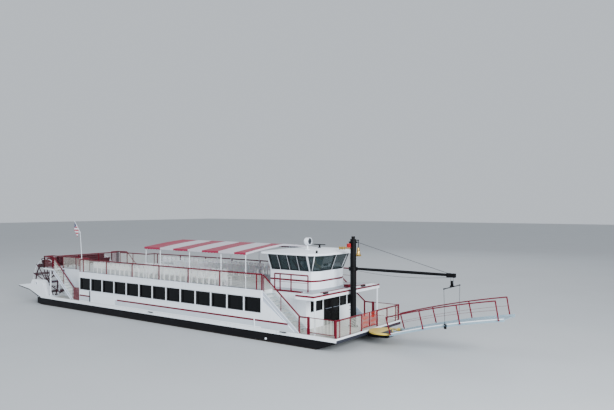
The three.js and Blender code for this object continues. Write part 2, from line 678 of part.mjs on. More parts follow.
const LIGHT_PLACE = [station(4200), -1050];
const LIGHT_HEIGHT = 560;
const LIGHT_RADIUS = 240;
const LIGHT_LENGTH = 420;
const RADAR_PLACE = [station(4600), 900];
const RADAR_LENGTH = 1000;
const RADAR_HEIGHT = 230;

function makeRoofGear() {
  const [lightX, lightY] = LIGHT_PLACE;
  const lightZ = ROOF_TOP + LIGHT_HEIGHT;
  const rear = lightX - LIGHT_LENGTH / 2;
  add('searchlight', fuse([
    rod([rear, lightY, lightZ], [rear + LIGHT_LENGTH, lightY, lightZ], LIGHT_RADIUS, 20),
    rod([lightX, lightY, ROOF_TOP + SEAT], [lightX, lightY, lightZ], 55, 12),
    disc(LIGHT_PLACE, 150, [ROOF_TOP + SEAT, ROOF_TOP + 50], 16),
  ]), WHITE);
  const [radarX, radarY] = RADAR_PLACE;
  const radarZ = ROOF_TOP + RADAR_HEIGHT;
  add('radar_bar', fuse([
    bar([radarX - RADAR_LENGTH / 2, radarY, radarZ], [radarX + RADAR_LENGTH / 2, radarY, radarZ], 90, 70),
    disc(RADAR_PLACE, 90, [ROOF_TOP + SEAT, radarZ], 12),
  ]), MAST_BLACK);
}

// Mast: a column with two seats for the boom's collar and the topping lift's swivel ring
const MAST_STATION = 1280;
const MAST_X = station(MAST_STATION);
const MAST_RADIUS = 200;
const MAST_SIDES = 16;
const MAST_TOP = WATER + 6770;
const BOOM_Z = WATER + 4850;
const COLLAR_HALF = 100;
const COLLAR_RADIUS = 300;
const COLLAR_BORE = 216;
const RING_Z = WATER + 6580;
const RING_HALF = 30;
const MAST_FLANGE = 40;
const BELL_OUT = 640;
const BELL_TOP = WATER + 6180;
const BELL_PROFILE = [[0, -70], [75, -110], [105, -300], [195, -570], [215, -560], [150, -420], [115, -250],
  [85, -40], [0, 0]];
const HORN_REACH = 600;
const HORN_Z = WATER + 6150;
const HORN_SPREAD = 190;
const HORN_PROFILE = [[0, -40], [38, -40], [44, 200], [115, 420], [100, 425], [0, 330]];

const lathe = (profile, sides) => new THREE.LatheGeometry(profile.map(([r, h]) => new THREE.Vector2(r, h)), sides);

function makeMast() {
  const seats = [BOOM_Z - COLLAR_HALF, RING_Z - RING_HALF].map((top) => (
    disc([MAST_X, 0], COLLAR_RADIUS - 20, [top - SEAT - MAST_FLANGE, top - SEAT], MAST_SIDES)));
  const armZ = MAST_TOP - 100;
  add('mast', fuse([
    disc([MAST_X, 0], MAST_RADIUS, [DECK, MAST_TOP], MAST_SIDES),
    ...seats,
    disc([MAST_X, 0], 330, [DECK, DECK + 60], MAST_SIDES),
    bar([MAST_X, 0, armZ], [MAST_X, BELL_OUT + 30, armZ], 60),
    rod([MAST_X, BELL_OUT, BELL_TOP + SEAT], [MAST_X, BELL_OUT, armZ], 25),
    disc([MAST_X, 0], 120, [MAST_TOP - 10, MAST_TOP + 180], 16),
  ]), MAST_BLACK);
  add('bell', fuse([lathe(BELL_PROFILE, 14).rotateX(Math.PI / 2).translate(MAST_X, BELL_OUT, BELL_TOP)]), BRASS);
  const hornX = MAST_X - MAST_RADIUS - SEAT;
  const barX = hornX - HORN_REACH / 2;
  const horns = [-HORN_SPREAD, 0, HORN_SPREAD].map((across) => (
    lathe(HORN_PROFILE, 10).rotateZ(Math.PI / 2).translate(barX, across, HORN_Z)));
  add('horn_cluster', fuse([
    block([hornX, barX - 30], [-30, 30], [HORN_Z - 25, HORN_Z + 25]),
    block([barX - 30, barX + 30], [-HORN_SPREAD, HORN_SPREAD], [HORN_Z - 30, HORN_Z + 30]),
    ...horns,
  ]), BRASS);
}

// Boom and its topping lift turn together about the mast
const BOOM_TIP_X = BOW + 5550;
const BOOM_RADIUS = 85;
const CHEEK = [60, 95];
const LIFT_RADIUS = 15;

function ringAboutMast(half, z) {
  const outer = disc([MAST_X, 0], COLLAR_RADIUS, [z - half, z + half], MAST_SIDES);
  const bore = disc([MAST_X, 0], COLLAR_BORE, [z - half - 1, z + half + 1], MAST_SIDES);
  return { outer, bore };
}

function makeBoom() {
  const collar = ringAboutMast(COLLAR_HALF, BOOM_Z);
  const ring = ringAboutMast(RING_HALF, RING_Z);
  const cheeks = SIDES.map(([, side]) => block([BOOM_TIP_X - 330, BOOM_TIP_X + 220], CHEEK.map((y) => side * y),
    [BOOM_Z - 140, BOOM_Z + 110]));
  add('boom', fuse([
    collar.outer,
    ring.outer,
    rod([MAST_X + COLLAR_RADIUS - 40, 0, BOOM_Z], [BOOM_TIP_X - 220, 0, BOOM_Z], BOOM_RADIUS, 12),
    ...cheeks,
    block([BOOM_TIP_X - 330, BOOM_TIP_X - 220], [-CHEEK[0] - 5, CHEEK[0] + 5], [BOOM_Z - 60, BOOM_Z + 100]),
    block([BOOM_TIP_X + 140, BOOM_TIP_X + 200], [-CHEEK[0] - 5, CHEEK[0] + 5], [BOOM_Z - 40, BOOM_Z + 40]),
    rod([MAST_X + COLLAR_RADIUS - 25, 0, RING_Z], [BOOM_TIP_X - 260, 0, BOOM_Z + 90], LIFT_RADIUS),
  ], [collar.bore, ring.bore]), MAST_BLACK);
}

// Bridle: a spreader bar hung over the stage, with a leg down to a pin on each side of the stage
const BRIDLE_X = BOOM_TIP_X;
const SPREADER_Z = WATER + 4160;
const SPREADER_HALF = 1175;
const SPREADER_BAR = 60;
const SPREADER_LUG_TOP = SPREADER_Z + 90;
const LEG_RADIUS = 14;
const PIN_RADIUS = 22;
const PIN_BORE = 23.4;
const LEG_OUT = 1015;
const HOOK_TOP = SPREADER_LUG_TOP + 280;

// Stage: the gangway's deck line rises from its foot as a shallow arch
const TURNTABLE_X = BOW + 1070;
const TURNTABLE_RADIUS = 1000;
const FOOT_X = BOW + 1900;
const FOOT_PIN_Z = DECK + 150;
const FOOT_PIN_RADIUS = 30;
const FOOT_BORE = 31.6;
const STAGE_RISE = 0.305;
const STAGE_ARCH = 1e-5;
const STAGE_LENGTH = 7050;
const STAGE_START = 280;
const STAGE_HALF = 910;
const STAGE_BEAM = 60;
const STAGE_POSTS = [60, 2230, 4510, 6740];
const STAGE_STEPS = 8;

const stageZ = (along) => DECK + 10 + STAGE_RISE * along - STAGE_ARCH * along * along;
const stageSlope = (along) => Math.atan(STAGE_RISE - 2 * STAGE_ARCH * along);

// The outline of a strip between two lifts above the deck line
function stageStrip(start, end, low, high) {
  const points = (lift) => Array.from({ length: STAGE_STEPS + 1 }, (unused, i) => {
    const along = start + (end - start) * i / STAGE_STEPS;
    return [FOOT_X + along, stageZ(along) + lift];
  });
  return [...points(low), ...points(high).reverse()];
}

const BRACKET_HALF = 420;
const BRACKET_REACH = 1470;
const HUB_RADIUS = 400;
const DISC_DEPTH = 110;

function makeTurntable() {
  add('stage_bracket', sidePlate([
    [BOW + LOG_FRONT + SEAT, HULL_TOP],
    [BOW + LOG_FRONT + SEAT, HULL_TOP - 200],
    [BOW + BRACKET_REACH, HULL_TOP - 130],
    [BOW + BRACKET_REACH, HULL_TOP],
  ], [-BRACKET_HALF, BRACKET_HALF]), HULL_BLACK);
  const lugs = SIDES.map(([, side]) => block([FOOT_X - 130, FOOT_X + 50], [side * 320, side * 380],
    [DECK, FOOT_PIN_Z + 55]));
  add('stage_turntable', fuse([
    disc([TURNTABLE_X, 0], TURNTABLE_RADIUS, [DECK + 10 - DISC_DEPTH, DECK + 10], 32),
    disc([TURNTABLE_X, 0], HUB_RADIUS, [HULL_TOP + SEAT, DECK], 16),
    ...lugs,
    rod([FOOT_X, -540, FOOT_PIN_Z], [FOOT_X, 540, FOOT_PIN_Z], FOOT_PIN_RADIUS, 12),
  ]), YELLOW);
}

const BRIDLE_ALONG = BRIDLE_X - FOOT_X;
const BRIDLE_PIN_Z = stageZ(BRIDLE_ALONG) - 30;

function makeGangway() {
  const beams = SIDES.map(([, side]) => sidePlate(stageStrip(0, STAGE_LENGTH, -130, 50),
    [side * STAGE_HALF, side * (STAGE_HALF - STAGE_BEAM)]));
  const knuckles = SIDES.map(([, side]) => sidePlate([
    [FOOT_X - 45, FOOT_PIN_Z - 45],
    [FOOT_X + 60, FOOT_PIN_Z - 45],
    [FOOT_X + 420, stageZ(420) - 70],
    [FOOT_X + 420, stageZ(420) + 10],
    [FOOT_X + 60, FOOT_PIN_Z + 45],
    [FOOT_X - 45, FOOT_PIN_Z + 45],
  ], [side * 430, side * 490]));
  const pins = SIDES.flatMap(([, side]) => [
    rod([BRIDLE_X, side * (STAGE_HALF - 5), BRIDLE_PIN_Z], [BRIDLE_X, side * (LEG_OUT + 25), BRIDLE_PIN_Z], PIN_RADIUS, 12),
    block([BRIDLE_X - 70, BRIDLE_X + 70], [side * (STAGE_HALF - 5), side * (STAGE_HALF + 20)],
      [BRIDLE_PIN_Z - 60, BRIDLE_PIN_Z + 60]),
  ]);
  const bore = rod([FOOT_X, -600, FOOT_PIN_Z], [FOOT_X, 600, FOOT_PIN_Z], FOOT_BORE, 16);
  add('gangway_deck', fuse([
    ...beams,
    sidePlate(stageStrip(STAGE_START, STAGE_LENGTH, -60, -20), [-STAGE_HALF + 10, STAGE_HALF - 10]),
    ...knuckles,
    ...pins,
  ], [bore]), STAGE_GREY);
  for (const [word, side] of SIDES) {
    const y = side * (STAGE_HALF + SEAT + 25);
    const lifted = (along, lift) => {
      const slope = stageSlope(along);
      return [FOOT_X + along - Math.sin(slope) * lift, y, stageZ(along) + Math.cos(slope) * lift];
    };
    const pieces = STAGE_POSTS.map((along) => bar(lifted(along, -110), lifted(along, RAIL_HEIGHT), 50));
    for (const [lift, width] of [[RAIL_HEIGHT - 25, 50], [RAIL_HEIGHT / 2, 30]]) {
      for (let i = 1; i < STAGE_POSTS.length; i += 1) {
        pieces.push(bar(lifted(STAGE_POSTS[i - 1], lift), lifted(STAGE_POSTS[i], lift), width));
      }
    }
    add(`gangway_rail_${word}`, fuse(pieces), RAIL_RED);
  }
}

function makeBridle() {
  const legs = SIDES.map(([, side]) => rod([BRIDLE_X, side * LEG_OUT, BRIDLE_PIN_Z + 20],
    [BRIDLE_X, side * (SPREADER_HALF - 25), SPREADER_Z], LEG_RADIUS));
  const eyes = SIDES.map(([, side]) => rod([BRIDLE_X, side * (LEG_OUT - 15), BRIDLE_PIN_Z],
    [BRIDLE_X, side * (LEG_OUT + 15), BRIDLE_PIN_Z], 50, 16));
  const bores = SIDES.map(([, side]) => rod([BRIDLE_X, side * (LEG_OUT - 40), BRIDLE_PIN_Z],
    [BRIDLE_X, side * (LEG_OUT + 40), BRIDLE_PIN_Z], PIN_BORE, 16));
  add('gangway_bridle', fuse([
    block([BRIDLE_X - SPREADER_BAR / 2, BRIDLE_X + SPREADER_BAR / 2], [-SPREADER_HALF, SPREADER_HALF],
      [SPREADER_Z - SPREADER_BAR / 2, SPREADER_Z + SPREADER_BAR / 2]),
    block([BRIDLE_X - 130, BRIDLE_X + 130], [-60, 60], [SPREADER_Z, SPREADER_LUG_TOP]),
    ...legs,
    ...eyes,
  ], bores), MAST_BLACK);
  const low = SPREADER_LUG_TOP + SEAT;
  add('hook_block', fuse([
    block([BRIDLE_X - 80, BRIDLE_X + 80], [-50, 50], [low, HOOK_TOP]),
    ...[-45, 45].map((x) => block([BRIDLE_X + x - 14, BRIDLE_X + x + 14], [-14, 14], [HOOK_TOP - 10, BOOM_Z + 30])),
  ]), MAST_BLACK);
}

// Stern wheel: a shaft, three spoked rings and full-width bucket boards, carried by a beam at each side
const WHEEL_STATION = 32100;
const WHEEL_Z = WATER + 2050;
const WHEEL_RADIUS = 2250;
const WHEEL_HALF = 3000;
const BUCKETS = 14;
const BUCKET_DEPTH = 430;
const BUCKET_THICKNESS = 50;
const SHAFT_RADIUS = 110;
const SHAFT_BORE = 110.9;
const SHAFT_SIDES = 32;
const RING_RADII = [1700, 1800];
const RING_THICKNESS = 60;
const RING_PLACES = [-WHEEL_HALF + 50, 0, WHEEL_HALF - 50];
const HUB = 330;
const SPOKE = 80;
const BEAM_WIDTH = 600;

function makeWheelBeams() {
  for (const [word, side] of SIDES) {
    const outline = [
      [29345, HULL_TOP],
      [31400, HULL_TOP],
      [33200, WATER + 1420],
      [35000, WATER + 1650],
      [35000, WATER + 1730],
      [33000, WATER + 1970],
      [32750, WATER + 2350],
      [31450, WATER + 2350],
      [31200, WATER + 2200],
      [30500, DECK],
      [29345, DECK],
    ].map(([aft, z]) => [station(aft), z]);
    const bore = rod([station(WHEEL_STATION), -HALF_BEAM - 10, WHEEL_Z], [station(WHEEL_STATION), HALF_BEAM + 10, WHEEL_Z],
      SHAFT_BORE, SHAFT_SIDES);
    add(`wheel_beam_${word}`, fuse([sidePlate(outline, [side * HALF_BEAM, side * (HALF_BEAM - BEAM_WIDTH)])], [bore]),
      WHITE);
  }
}

function makeWheel() {
  const x = station(WHEEL_STATION);
  const turned = (radius, tangent, angle) => [
    x + Math.cos(angle) * radius - Math.sin(angle) * tangent,
    WHEEL_Z + Math.sin(angle) * radius + Math.cos(angle) * tangent,
  ];
  const pieces = [rod([x, -HALF_BEAM + 50, WHEEL_Z], [x, HALF_BEAM - 50, WHEEL_Z], SHAFT_RADIUS, SHAFT_SIDES)];
  const angles = Array.from({ length: BUCKETS }, (unused, i) => (i + 0.25) * 2 * Math.PI / BUCKETS);
  const half = SPOKE / 2;
  // One spoked ring: spoke ends stand past the rim, and a gap is left between each two spokes
  const rim = angles.flatMap((angle) => [
    turned(RING_RADII[1], -half, angle),
    turned(WHEEL_RADIUS - 60, -half, angle),
    turned(WHEEL_RADIUS - 60, half, angle),
    turned(RING_RADII[1], half, angle),
  ]);
  const ring = new THREE.Shape(rim.map(([u, w]) => new THREE.Vector2(u, w)));
  ring.holes = angles.map((angle) => {
    const next = angle + 2 * Math.PI / BUCKETS;
    const gap = [turned(HUB, half, angle), turned(RING_RADII[0], half, angle), turned(RING_RADII[0], -half, next),
      turned(HUB, -half, next)];
    return new THREE.Path(gap.map(([u, w]) => new THREE.Vector2(u, w)));
  });
  for (const y of RING_PLACES) {
    const plate = new THREE.ExtrudeGeometry(ring, { depth: RING_THICKNESS, bevelEnabled: false });
    pieces.push(plate.rotateX(Math.PI / 2).translate(0, y + RING_THICKNESS / 2, 0));
  }
  for (const angle of angles) {
    const near = half - 15;
    const board = [
      turned(WHEEL_RADIUS - BUCKET_DEPTH, near, angle),
      turned(WHEEL_RADIUS, near, angle),
      turned(WHEEL_RADIUS, near + BUCKET_THICKNESS, angle),
      turned(WHEEL_RADIUS - BUCKET_DEPTH, near + BUCKET_THICKNESS, angle),
    ];
    pieces.push(sidePlate(board, [-WHEEL_HALF, WHEEL_HALF]));
  }
  add('paddle_wheel', fuse(pieces), WHEEL_RED);
}

const RUDDER_STATIONS = [28100, 30200];
const RUDDER_STOCK = 28800;
const RUDDER_Y = 1550;
const RUDDER_Z = [50, WATER - 60];

function makeRudders() {
  for (const [word, side] of SIDES) {
    const y = side * RUDDER_Y;
    add(`rudder_${word}`, fuse([
      block(RUDDER_STATIONS.map(station), [y - 30, y + 30], RUDDER_Z),
      disc([station(RUDDER_STOCK), y], 110, [RUDDER_Z[1] - 100, WATER - SEAT], 16),
    ]), HULL_BLACK);
  }
}

// Armchairs stand side by side in rows: side panels with a seat and a back between them
const CHAIR_PITCH = 580;
const CHAIR_DEPTH = 460;
const CHAIR_SIDE = 30;
const SEAT_HEIGHT = 420;
const CHAIR_BACK = 850;
const ARM_HEIGHT = 640;
// Each row: name, first station, number of chairs, distance of its back from the centreline, and the way it faces
const CHAIR_ROWS = [
  ['chairs_outer', 9000, 26, 3710, -1],
  ['chairs_inner', 11000, 16, 1500, 1],
];

function makeChairs() {
  for (const [row, first, count, backY, faces] of CHAIR_ROWS) {
    const last = first + count * CHAIR_PITCH;
    for (const [word, side] of SIDES) {
      const back = side * backY;
      const front = side * (backY + faces * CHAIR_DEPTH);
      const pieces = [
        block([station(first), station(last)], [back, front], [UPPER_DECK + SEAT_HEIGHT - 40, UPPER_DECK + SEAT_HEIGHT]),
        block([station(first), station(last)], [back, back + side * faces * 35],
          [UPPER_DECK + SEAT_HEIGHT - 20, UPPER_DECK + CHAIR_BACK]),
      ];
      for (let i = 0; i <= count; i += 1) {
        const x = station(first + i * CHAIR_PITCH);
        pieces.push(block([x - CHAIR_SIDE / 2, x + CHAIR_SIDE / 2], [back + side * faces * 5, front - side * faces * 5],
          [UPPER_DECK, UPPER_DECK + ARM_HEIGHT]));
      }
      add(`${row}_${word}`, fuse(pieces), CHAIR_WHITE);
    }
  }
}

// Awning: one cloth over cross frames. Its profile runs from the ridge to the eave as pairs of y and z
const AWNING_STATIONS = [7150, 17400];
const AWNING_PROFILE = [[0, WATER + 6250], [1500, WATER + 6130], [2800, WATER + 5990], [3880, WATER + 5850]];
const CLOTH = 24;
const VALANCE = 150;
const FRAME_BAR = 50;
const FRAME_STATIONS = [7250, 9500, 12600, 15700, 17300];
const FRAME_POST_LINE = 3780;

// A closed outline across the boat, as pairs of y and z, carried along it from x0 to x1
function crossPlate(outline, [x0, x1]) {
  const shape = new THREE.Shape(outline.map(([y, z]) => new THREE.Vector2(y, z)));
  const geometry = new THREE.ExtrudeGeometry(shape, { depth: Math.abs(x1 - x0), bevelEnabled: false });
  const axes = [new THREE.Vector3(0, 1, 0), new THREE.Vector3(0, 0, 1), new THREE.Vector3(1, 0, 0)];
  return geometry.applyMatrix4(new THREE.Matrix4().makeBasis(...axes)).translate(Math.min(x0, x1), 0, 0);
}

const mirrored = (half) => [...half.slice(1).map(([y, z]) => [-y, z]).reverse(), ...half];
const lowered = (points, drop) => points.map(([y, z]) => [y, z - drop]);

function makeAwning() {
  const top = mirrored(AWNING_PROFILE);
  const [eaveY, eaveZ] = AWNING_PROFILE[AWNING_PROFILE.length - 1];
  const skirts = SIDES.map(([, side]) => block(AWNING_STATIONS.map(station), [side * eaveY, side * (eaveY - CLOTH)],
    [eaveZ - VALANCE, eaveZ]));
  add('awning', fuse([
    crossPlate([...top, ...lowered(top, CLOTH).reverse()], AWNING_STATIONS.map(station)),
    ...skirts,
  ]), AWNING_CLOTH);
  const inner = mirrored([...AWNING_PROFILE.slice(0, 3), [FRAME_POST_LINE, WATER + 5863]]);
  const under = CLOTH + SEAT;
  const pieces = [];
  for (const aft of FRAME_STATIONS) {
    const span = [station(aft) - FRAME_BAR / 2, station(aft) + FRAME_BAR / 2];
    pieces.push(crossPlate([...lowered(inner, under), ...lowered(inner, under + FRAME_BAR).reverse()], span));
    for (const [, side] of SIDES) {
      const y = side * FRAME_POST_LINE;
      pieces.push(block(span, [y - 25, y + 25], [UPPER_DECK, WATER + 5863 - under - 8]));
    }
  }
  const ends = [station(FRAME_STATIONS[0]), station(FRAME_STATIONS[4])];
  pieces.push(block(ends, [-22, 22], [WATER + 6250 - under - FRAME_BAR + 12, WATER + 6250 - under - 14]));
  add('awning_frame', fuse(pieces), WHITE);
}

const FLAGSTAFF_FOOT = [25380, -3790];
const FLAGSTAFF_HEAD = [25700, WATER + 6770];
const GAFF = [[25685, WATER + 6700], [26560, WATER + 7720]];
const GAFF_RADIUS = 20;
// The staff leans, so the middle of its foot stands a little above the deck
const FLAGSTAFF_LIFT = 3.6;
const FLAG_SPAN = [0.2, 0.9];
const FLAG_DROP = [[26620, WATER + 6950], [26120, WATER + 6330]];

function makeFlag() {
  const [footStation, y] = FLAGSTAFF_FOOT;
  const gaff = GAFF.map(([aft, z]) => [station(aft), y, z]);
  add('flagstaff', fuse([
    rod([station(footStation), y, UPPER_DECK + FLAGSTAFF_LIFT], [station(FLAGSTAFF_HEAD[0]), y, FLAGSTAFF_HEAD[1]], 30, 12),
    rod(gaff[0], gaff[1], GAFF_RADIUS),
  ]), WHITE);
  const length = distance(...gaff);
  const under = (GAFF_RADIUS + SEAT) / length;
  const edge = FLAG_SPAN.map((share) => [
    gaff[0][0] + (gaff[1][0] - gaff[0][0]) * share - (gaff[1][2] - gaff[0][2]) * under,
    gaff[0][2] + (gaff[1][2] - gaff[0][2]) * share + (gaff[1][0] - gaff[0][0]) * under,
  ]);
  const drop = FLAG_DROP.map(([aft, z]) => [station(aft), z]);
  add('flag', sidePlate([...edge, ...drop], [y - 12, y + 12]), FLAG_CLOTH);
}

makeHull();
makeMainDeck();
makeCabinSides();
makeForwardCabin();
makeSternHouse();
makeUpperDeck();
makeUpperRails();
makeStairs();
makeBowRails();
makeGates();
makeDoors();
makePilotHouse();
makePilotRoof();
makeRoofGear();
makeMast();
makeBoom();
makeTurntable();
makeGangway();
makeBridle();
makeWheelBeams();
makeWheel();
makeRudders();
makeChairs();
makeAwning();
makeFlag();

export default boat;
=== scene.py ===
"""Looks of a stern-wheel excursion boat at half scale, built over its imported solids.

Places are given as the boat's drawings give them: full size, in millimetres, as distance aft of the bow
edge, distance across (port is positive) and height above the hull's flat bottom. place() turns them into
the frame's axes, and every mesh is brought to half scale in metres when it is made.
"""

import bpy
import numpy as np
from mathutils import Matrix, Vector


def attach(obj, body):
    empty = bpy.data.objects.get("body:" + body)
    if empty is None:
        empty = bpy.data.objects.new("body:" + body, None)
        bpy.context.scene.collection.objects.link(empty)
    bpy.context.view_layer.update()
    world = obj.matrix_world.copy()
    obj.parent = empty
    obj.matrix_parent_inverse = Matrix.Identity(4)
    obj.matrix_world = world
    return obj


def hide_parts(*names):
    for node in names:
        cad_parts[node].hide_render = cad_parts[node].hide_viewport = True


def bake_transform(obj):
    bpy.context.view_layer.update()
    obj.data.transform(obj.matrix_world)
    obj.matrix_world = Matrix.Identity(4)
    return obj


bl_info = {
    "name": "Stern-wheel boat looks",
    "version": (1, 0, 0),
    "blender": (4, 5, 0),
    "location": "View3D > Sidebar > Boat",
    "description": "Builds the visible surfaces of a stern-wheel excursion boat",
    "category": "Object",
}

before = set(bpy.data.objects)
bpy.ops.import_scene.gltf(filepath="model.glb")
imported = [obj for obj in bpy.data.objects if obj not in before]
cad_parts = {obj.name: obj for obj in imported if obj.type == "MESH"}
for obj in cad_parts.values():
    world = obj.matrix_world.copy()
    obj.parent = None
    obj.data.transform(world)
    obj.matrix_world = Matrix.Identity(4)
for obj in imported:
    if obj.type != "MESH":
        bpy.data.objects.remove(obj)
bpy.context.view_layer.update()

# Full-size millimetres to metres of the half-size model
MM = 1 / 2000
BOW = 15500
HALF_BEAM = 3950
WATER = 850
DECK = 1930
HULL_TOP = 1690
UPPER_DECK = 4340
RAIL_HEIGHT = 1070
STARBOARD, PORT = -1, 1
SIDES = {"starboard": STARBOARD, "port": PORT}
BODY = "boat"
# Axes that turned and swept shapes run along
FORE_AND_AFT, ACROSS, UPRIGHT = (1, 0, 0), (0, 1, 0), (0, 0, 1)


def points_of(*parts):
    """Points from their three coordinates, each one number or an array of them."""
    return np.stack(np.broadcast_arrays(*parts), axis=-1).astype(float)


def place(aft, across, height):
    """Frame coordinates of one or many places: x is the bow's x less the distance aft."""
    return points_of(BOW - np.asarray(aft, float), across, height)


def up(height):
    """A shift straight up."""
    return np.array([0, 0, height], float)


# Shapes: a shape is a pair of points and faces. A face has four corners, and a triangle's fourth is -1.

BOX_CORNERS = np.array([[x, y, z] for x in (0, 1) for y in (0, 1) for z in (0, 1)], float)
BOX_FACES = np.array([[0, 1, 3, 2], [4, 6, 7, 5], [0, 4, 5, 1], [2, 3, 7, 6], [0, 2, 6, 4], [1, 5, 7, 3]])


def joined(shapes):
    """All shapes as one: each one's faces are shifted by the number of points before it."""
    points, faces = zip(*shapes)
    starts = np.cumsum([0] + [len(part) for part in points[:-1]])
    moved = [np.where(part < 0, -1, part + start) for part, start in zip(faces, starts)]
    return np.concatenate(points), np.concatenate(moved)


def repeated(pattern, count, size):
    """The same faces for each of several copies: copy k adds k times the size to each index."""
    shift = np.arange(count)[:, None, None] * size
    return np.where(pattern[None] < 0, -1, pattern[None] + shift).reshape(-1, 4)


def welded(points, faces):
    """Points at one place become one point, and faces with a side of no length become triangles or go."""
    kept, where = np.unique(np.round(points, 3), axis=0, return_index=True, return_inverse=True)[1:]
    faces = where.ravel()[faces]
    same = faces == np.roll(faces, -1, axis=1)
    faces = faces[same.sum(axis=1) <= 1]
    same = same[same.sum(axis=1) <= 1]
    flat = same.any(axis=1)
    turn = (np.argmax(same, axis=1)[:, None] + 1 + np.arange(4)) % 4
    triangles = np.take_along_axis(faces, turn, axis=1)
    triangles[:, 3] = -1
    return points[kept], np.where(flat[:, None], triangles, faces)


def grid(points, closed_rows=False, closed_columns=False):
    """A surface through a grid of points. It faces the way of its column direction crossed with its rows'."""
    rows, columns = points.shape[:2]
    index = np.arange(rows * columns).reshape(rows, columns)
    if closed_rows:
        index = np.vstack([index, index[:1]])
    if closed_columns:
        index = np.hstack([index, index[:, :1]])
    faces = np.stack([index[:-1, :-1], index[:-1, 1:], index[1:, 1:], index[1:, :-1]], axis=-1)
    return welded(points.reshape(-1, 3), faces.reshape(-1, 4))


def capped(rings):
    """A closed surface through rings of points, which shrink to the middle of the first and the last."""
    first, last = (np.broadcast_to(ring.mean(axis=0), ring.shape)[None] for ring in (rings[0], rings[-1]))
    return grid(np.concatenate([first, rings, last]), closed_columns=True)


def facing_out(shape):
    """A closed shape, with its faces' order reversed where its signed volume is below zero."""
    points, faces = shape
    corners = np.where(faces < 0, faces[:, :1], faces)
    a, b, c, d = np.moveaxis((points - points.mean(axis=0))[corners], 1, 0)
    volume = np.einsum("ij,ij->", a, np.cross(c, d - b))
    turned = np.where(faces[:, 3:] < 0, faces[:, [0, 2, 1, 3]], faces[:, [0, 3, 2, 1]])
    return (points, turned) if volume < 0 else shape


def rows_of(first, second):
    """Two places, or two lists of them, as lists of the same length."""
    return np.broadcast_arrays(*(np.atleast_2d(np.asarray(rows, float)) for rows in (first, second)))


def boxes(low, high):
    """Upright boxes between pairs of opposite corners: corner = low + share * (high - low), share 0 or 1."""
    low, high = rows_of(low, high)
    least, most = np.minimum(low, high), np.maximum(low, high)
    points = least[:, None] + BOX_CORNERS[None] * (most - least)[:, None]
    return points.reshape(-1, 3), repeated(BOX_FACES, len(low), 8)


def directions(start, end):
    """Unit vectors along each line, level across it, and up from it, with the line lengths."""
    start, end = rows_of(start, end)
    along = end - start
    length = np.linalg.norm(along, axis=1, keepdims=True)
    along = along / length
    upright = np.where(np.abs(along[:, 2:]) > 0.999, [FORE_AND_AFT], [UPRIGHT])
    across = np.cross(upright, along)
    across /= np.linalg.norm(across, axis=1, keepdims=True)
    return start, end, along, across, np.cross(along, across), length


def bars(start, end, width, height=None):
    """Square-ended bars: corner = start + along * length * share, half the width and height to each side."""
    start, end, along, across, lift, length = directions(start, end)
    height = width if height is None else height
    share = BOX_CORNERS[None]
    points = start[:, None] + along[:, None] * length[:, None] * share[..., :1]
    points = points + across[:, None] * (share[..., 1:2] - 0.5) * width
    points = points + lift[:, None] * (share[..., 2:] - 0.5) * height
    return points.reshape(-1, 3), repeated(BOX_FACES, len(start), 8)


def circle(radius, sides=10):
    """A round profile: (radius * cos a, radius * sin a)."""
    angle = np.arange(sides) * 2 * np.pi / sides
    return np.stack([np.cos(angle), np.sin(angle)], axis=1) * radius


def rods(start, end, radius, sides=10, end_radius=None):
    """Round rods with closed ends: ring point = middle + radius * (cos a * across + sin a * up)."""
    start, end, across, lift = (directions(start, end)[k] for k in (0, 1, 3, 4))
    tip = radius if end_radius is None else end_radius
    cosine, sine = circle(1, sides).T[:, None, :, None]
    ring = across[:, None] * cosine + lift[:, None] * sine
    points = np.concatenate([start[:, None] + ring * radius, end[:, None] + ring * tip,
                             start[:, None], end[:, None]], axis=1)
    i = np.arange(sides)
    j = (i + 1) % sides
    near, far, none = 2 * sides + 0 * i, 2 * sides + 1 + 0 * i, 0 * i - 1
    corners = [[i, j, j + sides, i + sides], [near, j, i, none], [far, i + sides, j + sides, none]]
    pattern = np.concatenate([np.stack(four, 1) for four in corners])
    return points.reshape(-1, 3), repeated(pattern, len(start), 2 * sides + 2)


def oblong(half_width, half_height):
    """A rectangular profile about its middle."""
    return [(-half_width, -half_height), (half_width, -half_height), (half_width, half_height),
            (-half_width, half_height)]


def sweep(profile, path, closed=False, upright=UPRIGHT):
    """A closed profile (across, up) carried along a path: point = path + across * side + up * lift.
    Open paths get closed ends, as the profile shrinks to its middle there."""
    profile, path = np.asarray(profile, float), np.asarray(path, float)
    if closed:
        tangent = np.roll(path, -1, axis=0) - np.roll(path, 1, axis=0)
    else:
        tangent = np.gradient(path, axis=0)
    tangent /= np.linalg.norm(tangent, axis=1, keepdims=True)
    side = np.cross(np.asarray(upright, float), tangent)
    side /= np.linalg.norm(side, axis=1, keepdims=True)
    lift = np.cross(tangent, side)
    rings = path[:, None] + side[:, None] * profile[None, :, :1] + lift[:, None] * profile[None, :, 1:]
    return grid(rings, closed_rows=True, closed_columns=True) if closed else capped(rings)


def pipe(path, radius, sides=10):
    """A tube along a path of places, of one radius."""
    return sweep(circle(radius, sides), path)


def lathe(profile, centre, axis=UPRIGHT, sides=24):
    """A profile of (radius, height) turned about an axis: point = centre + axis * height + radius *
    ring(a)."""
    profile = np.asarray(profile, float)
    along, across, lift = directions([0, 0, 0], axis)[2:5]
    cosine, sine = circle(1, sides).T[:, :, None]
    ring = across * cosine + lift * sine
    points = np.asarray(centre, float) + along * profile[:, None, 1:] + ring[None] * profile[:, None, :1]
    return grid(points, closed_columns=True)


def collar(inner, outer, half):
    """The profile of a flat ring, for lathe: radii and half its height."""
    return [(inner, -half), (outer, -half), (outer, half), (inner, half), (inner, -half)]


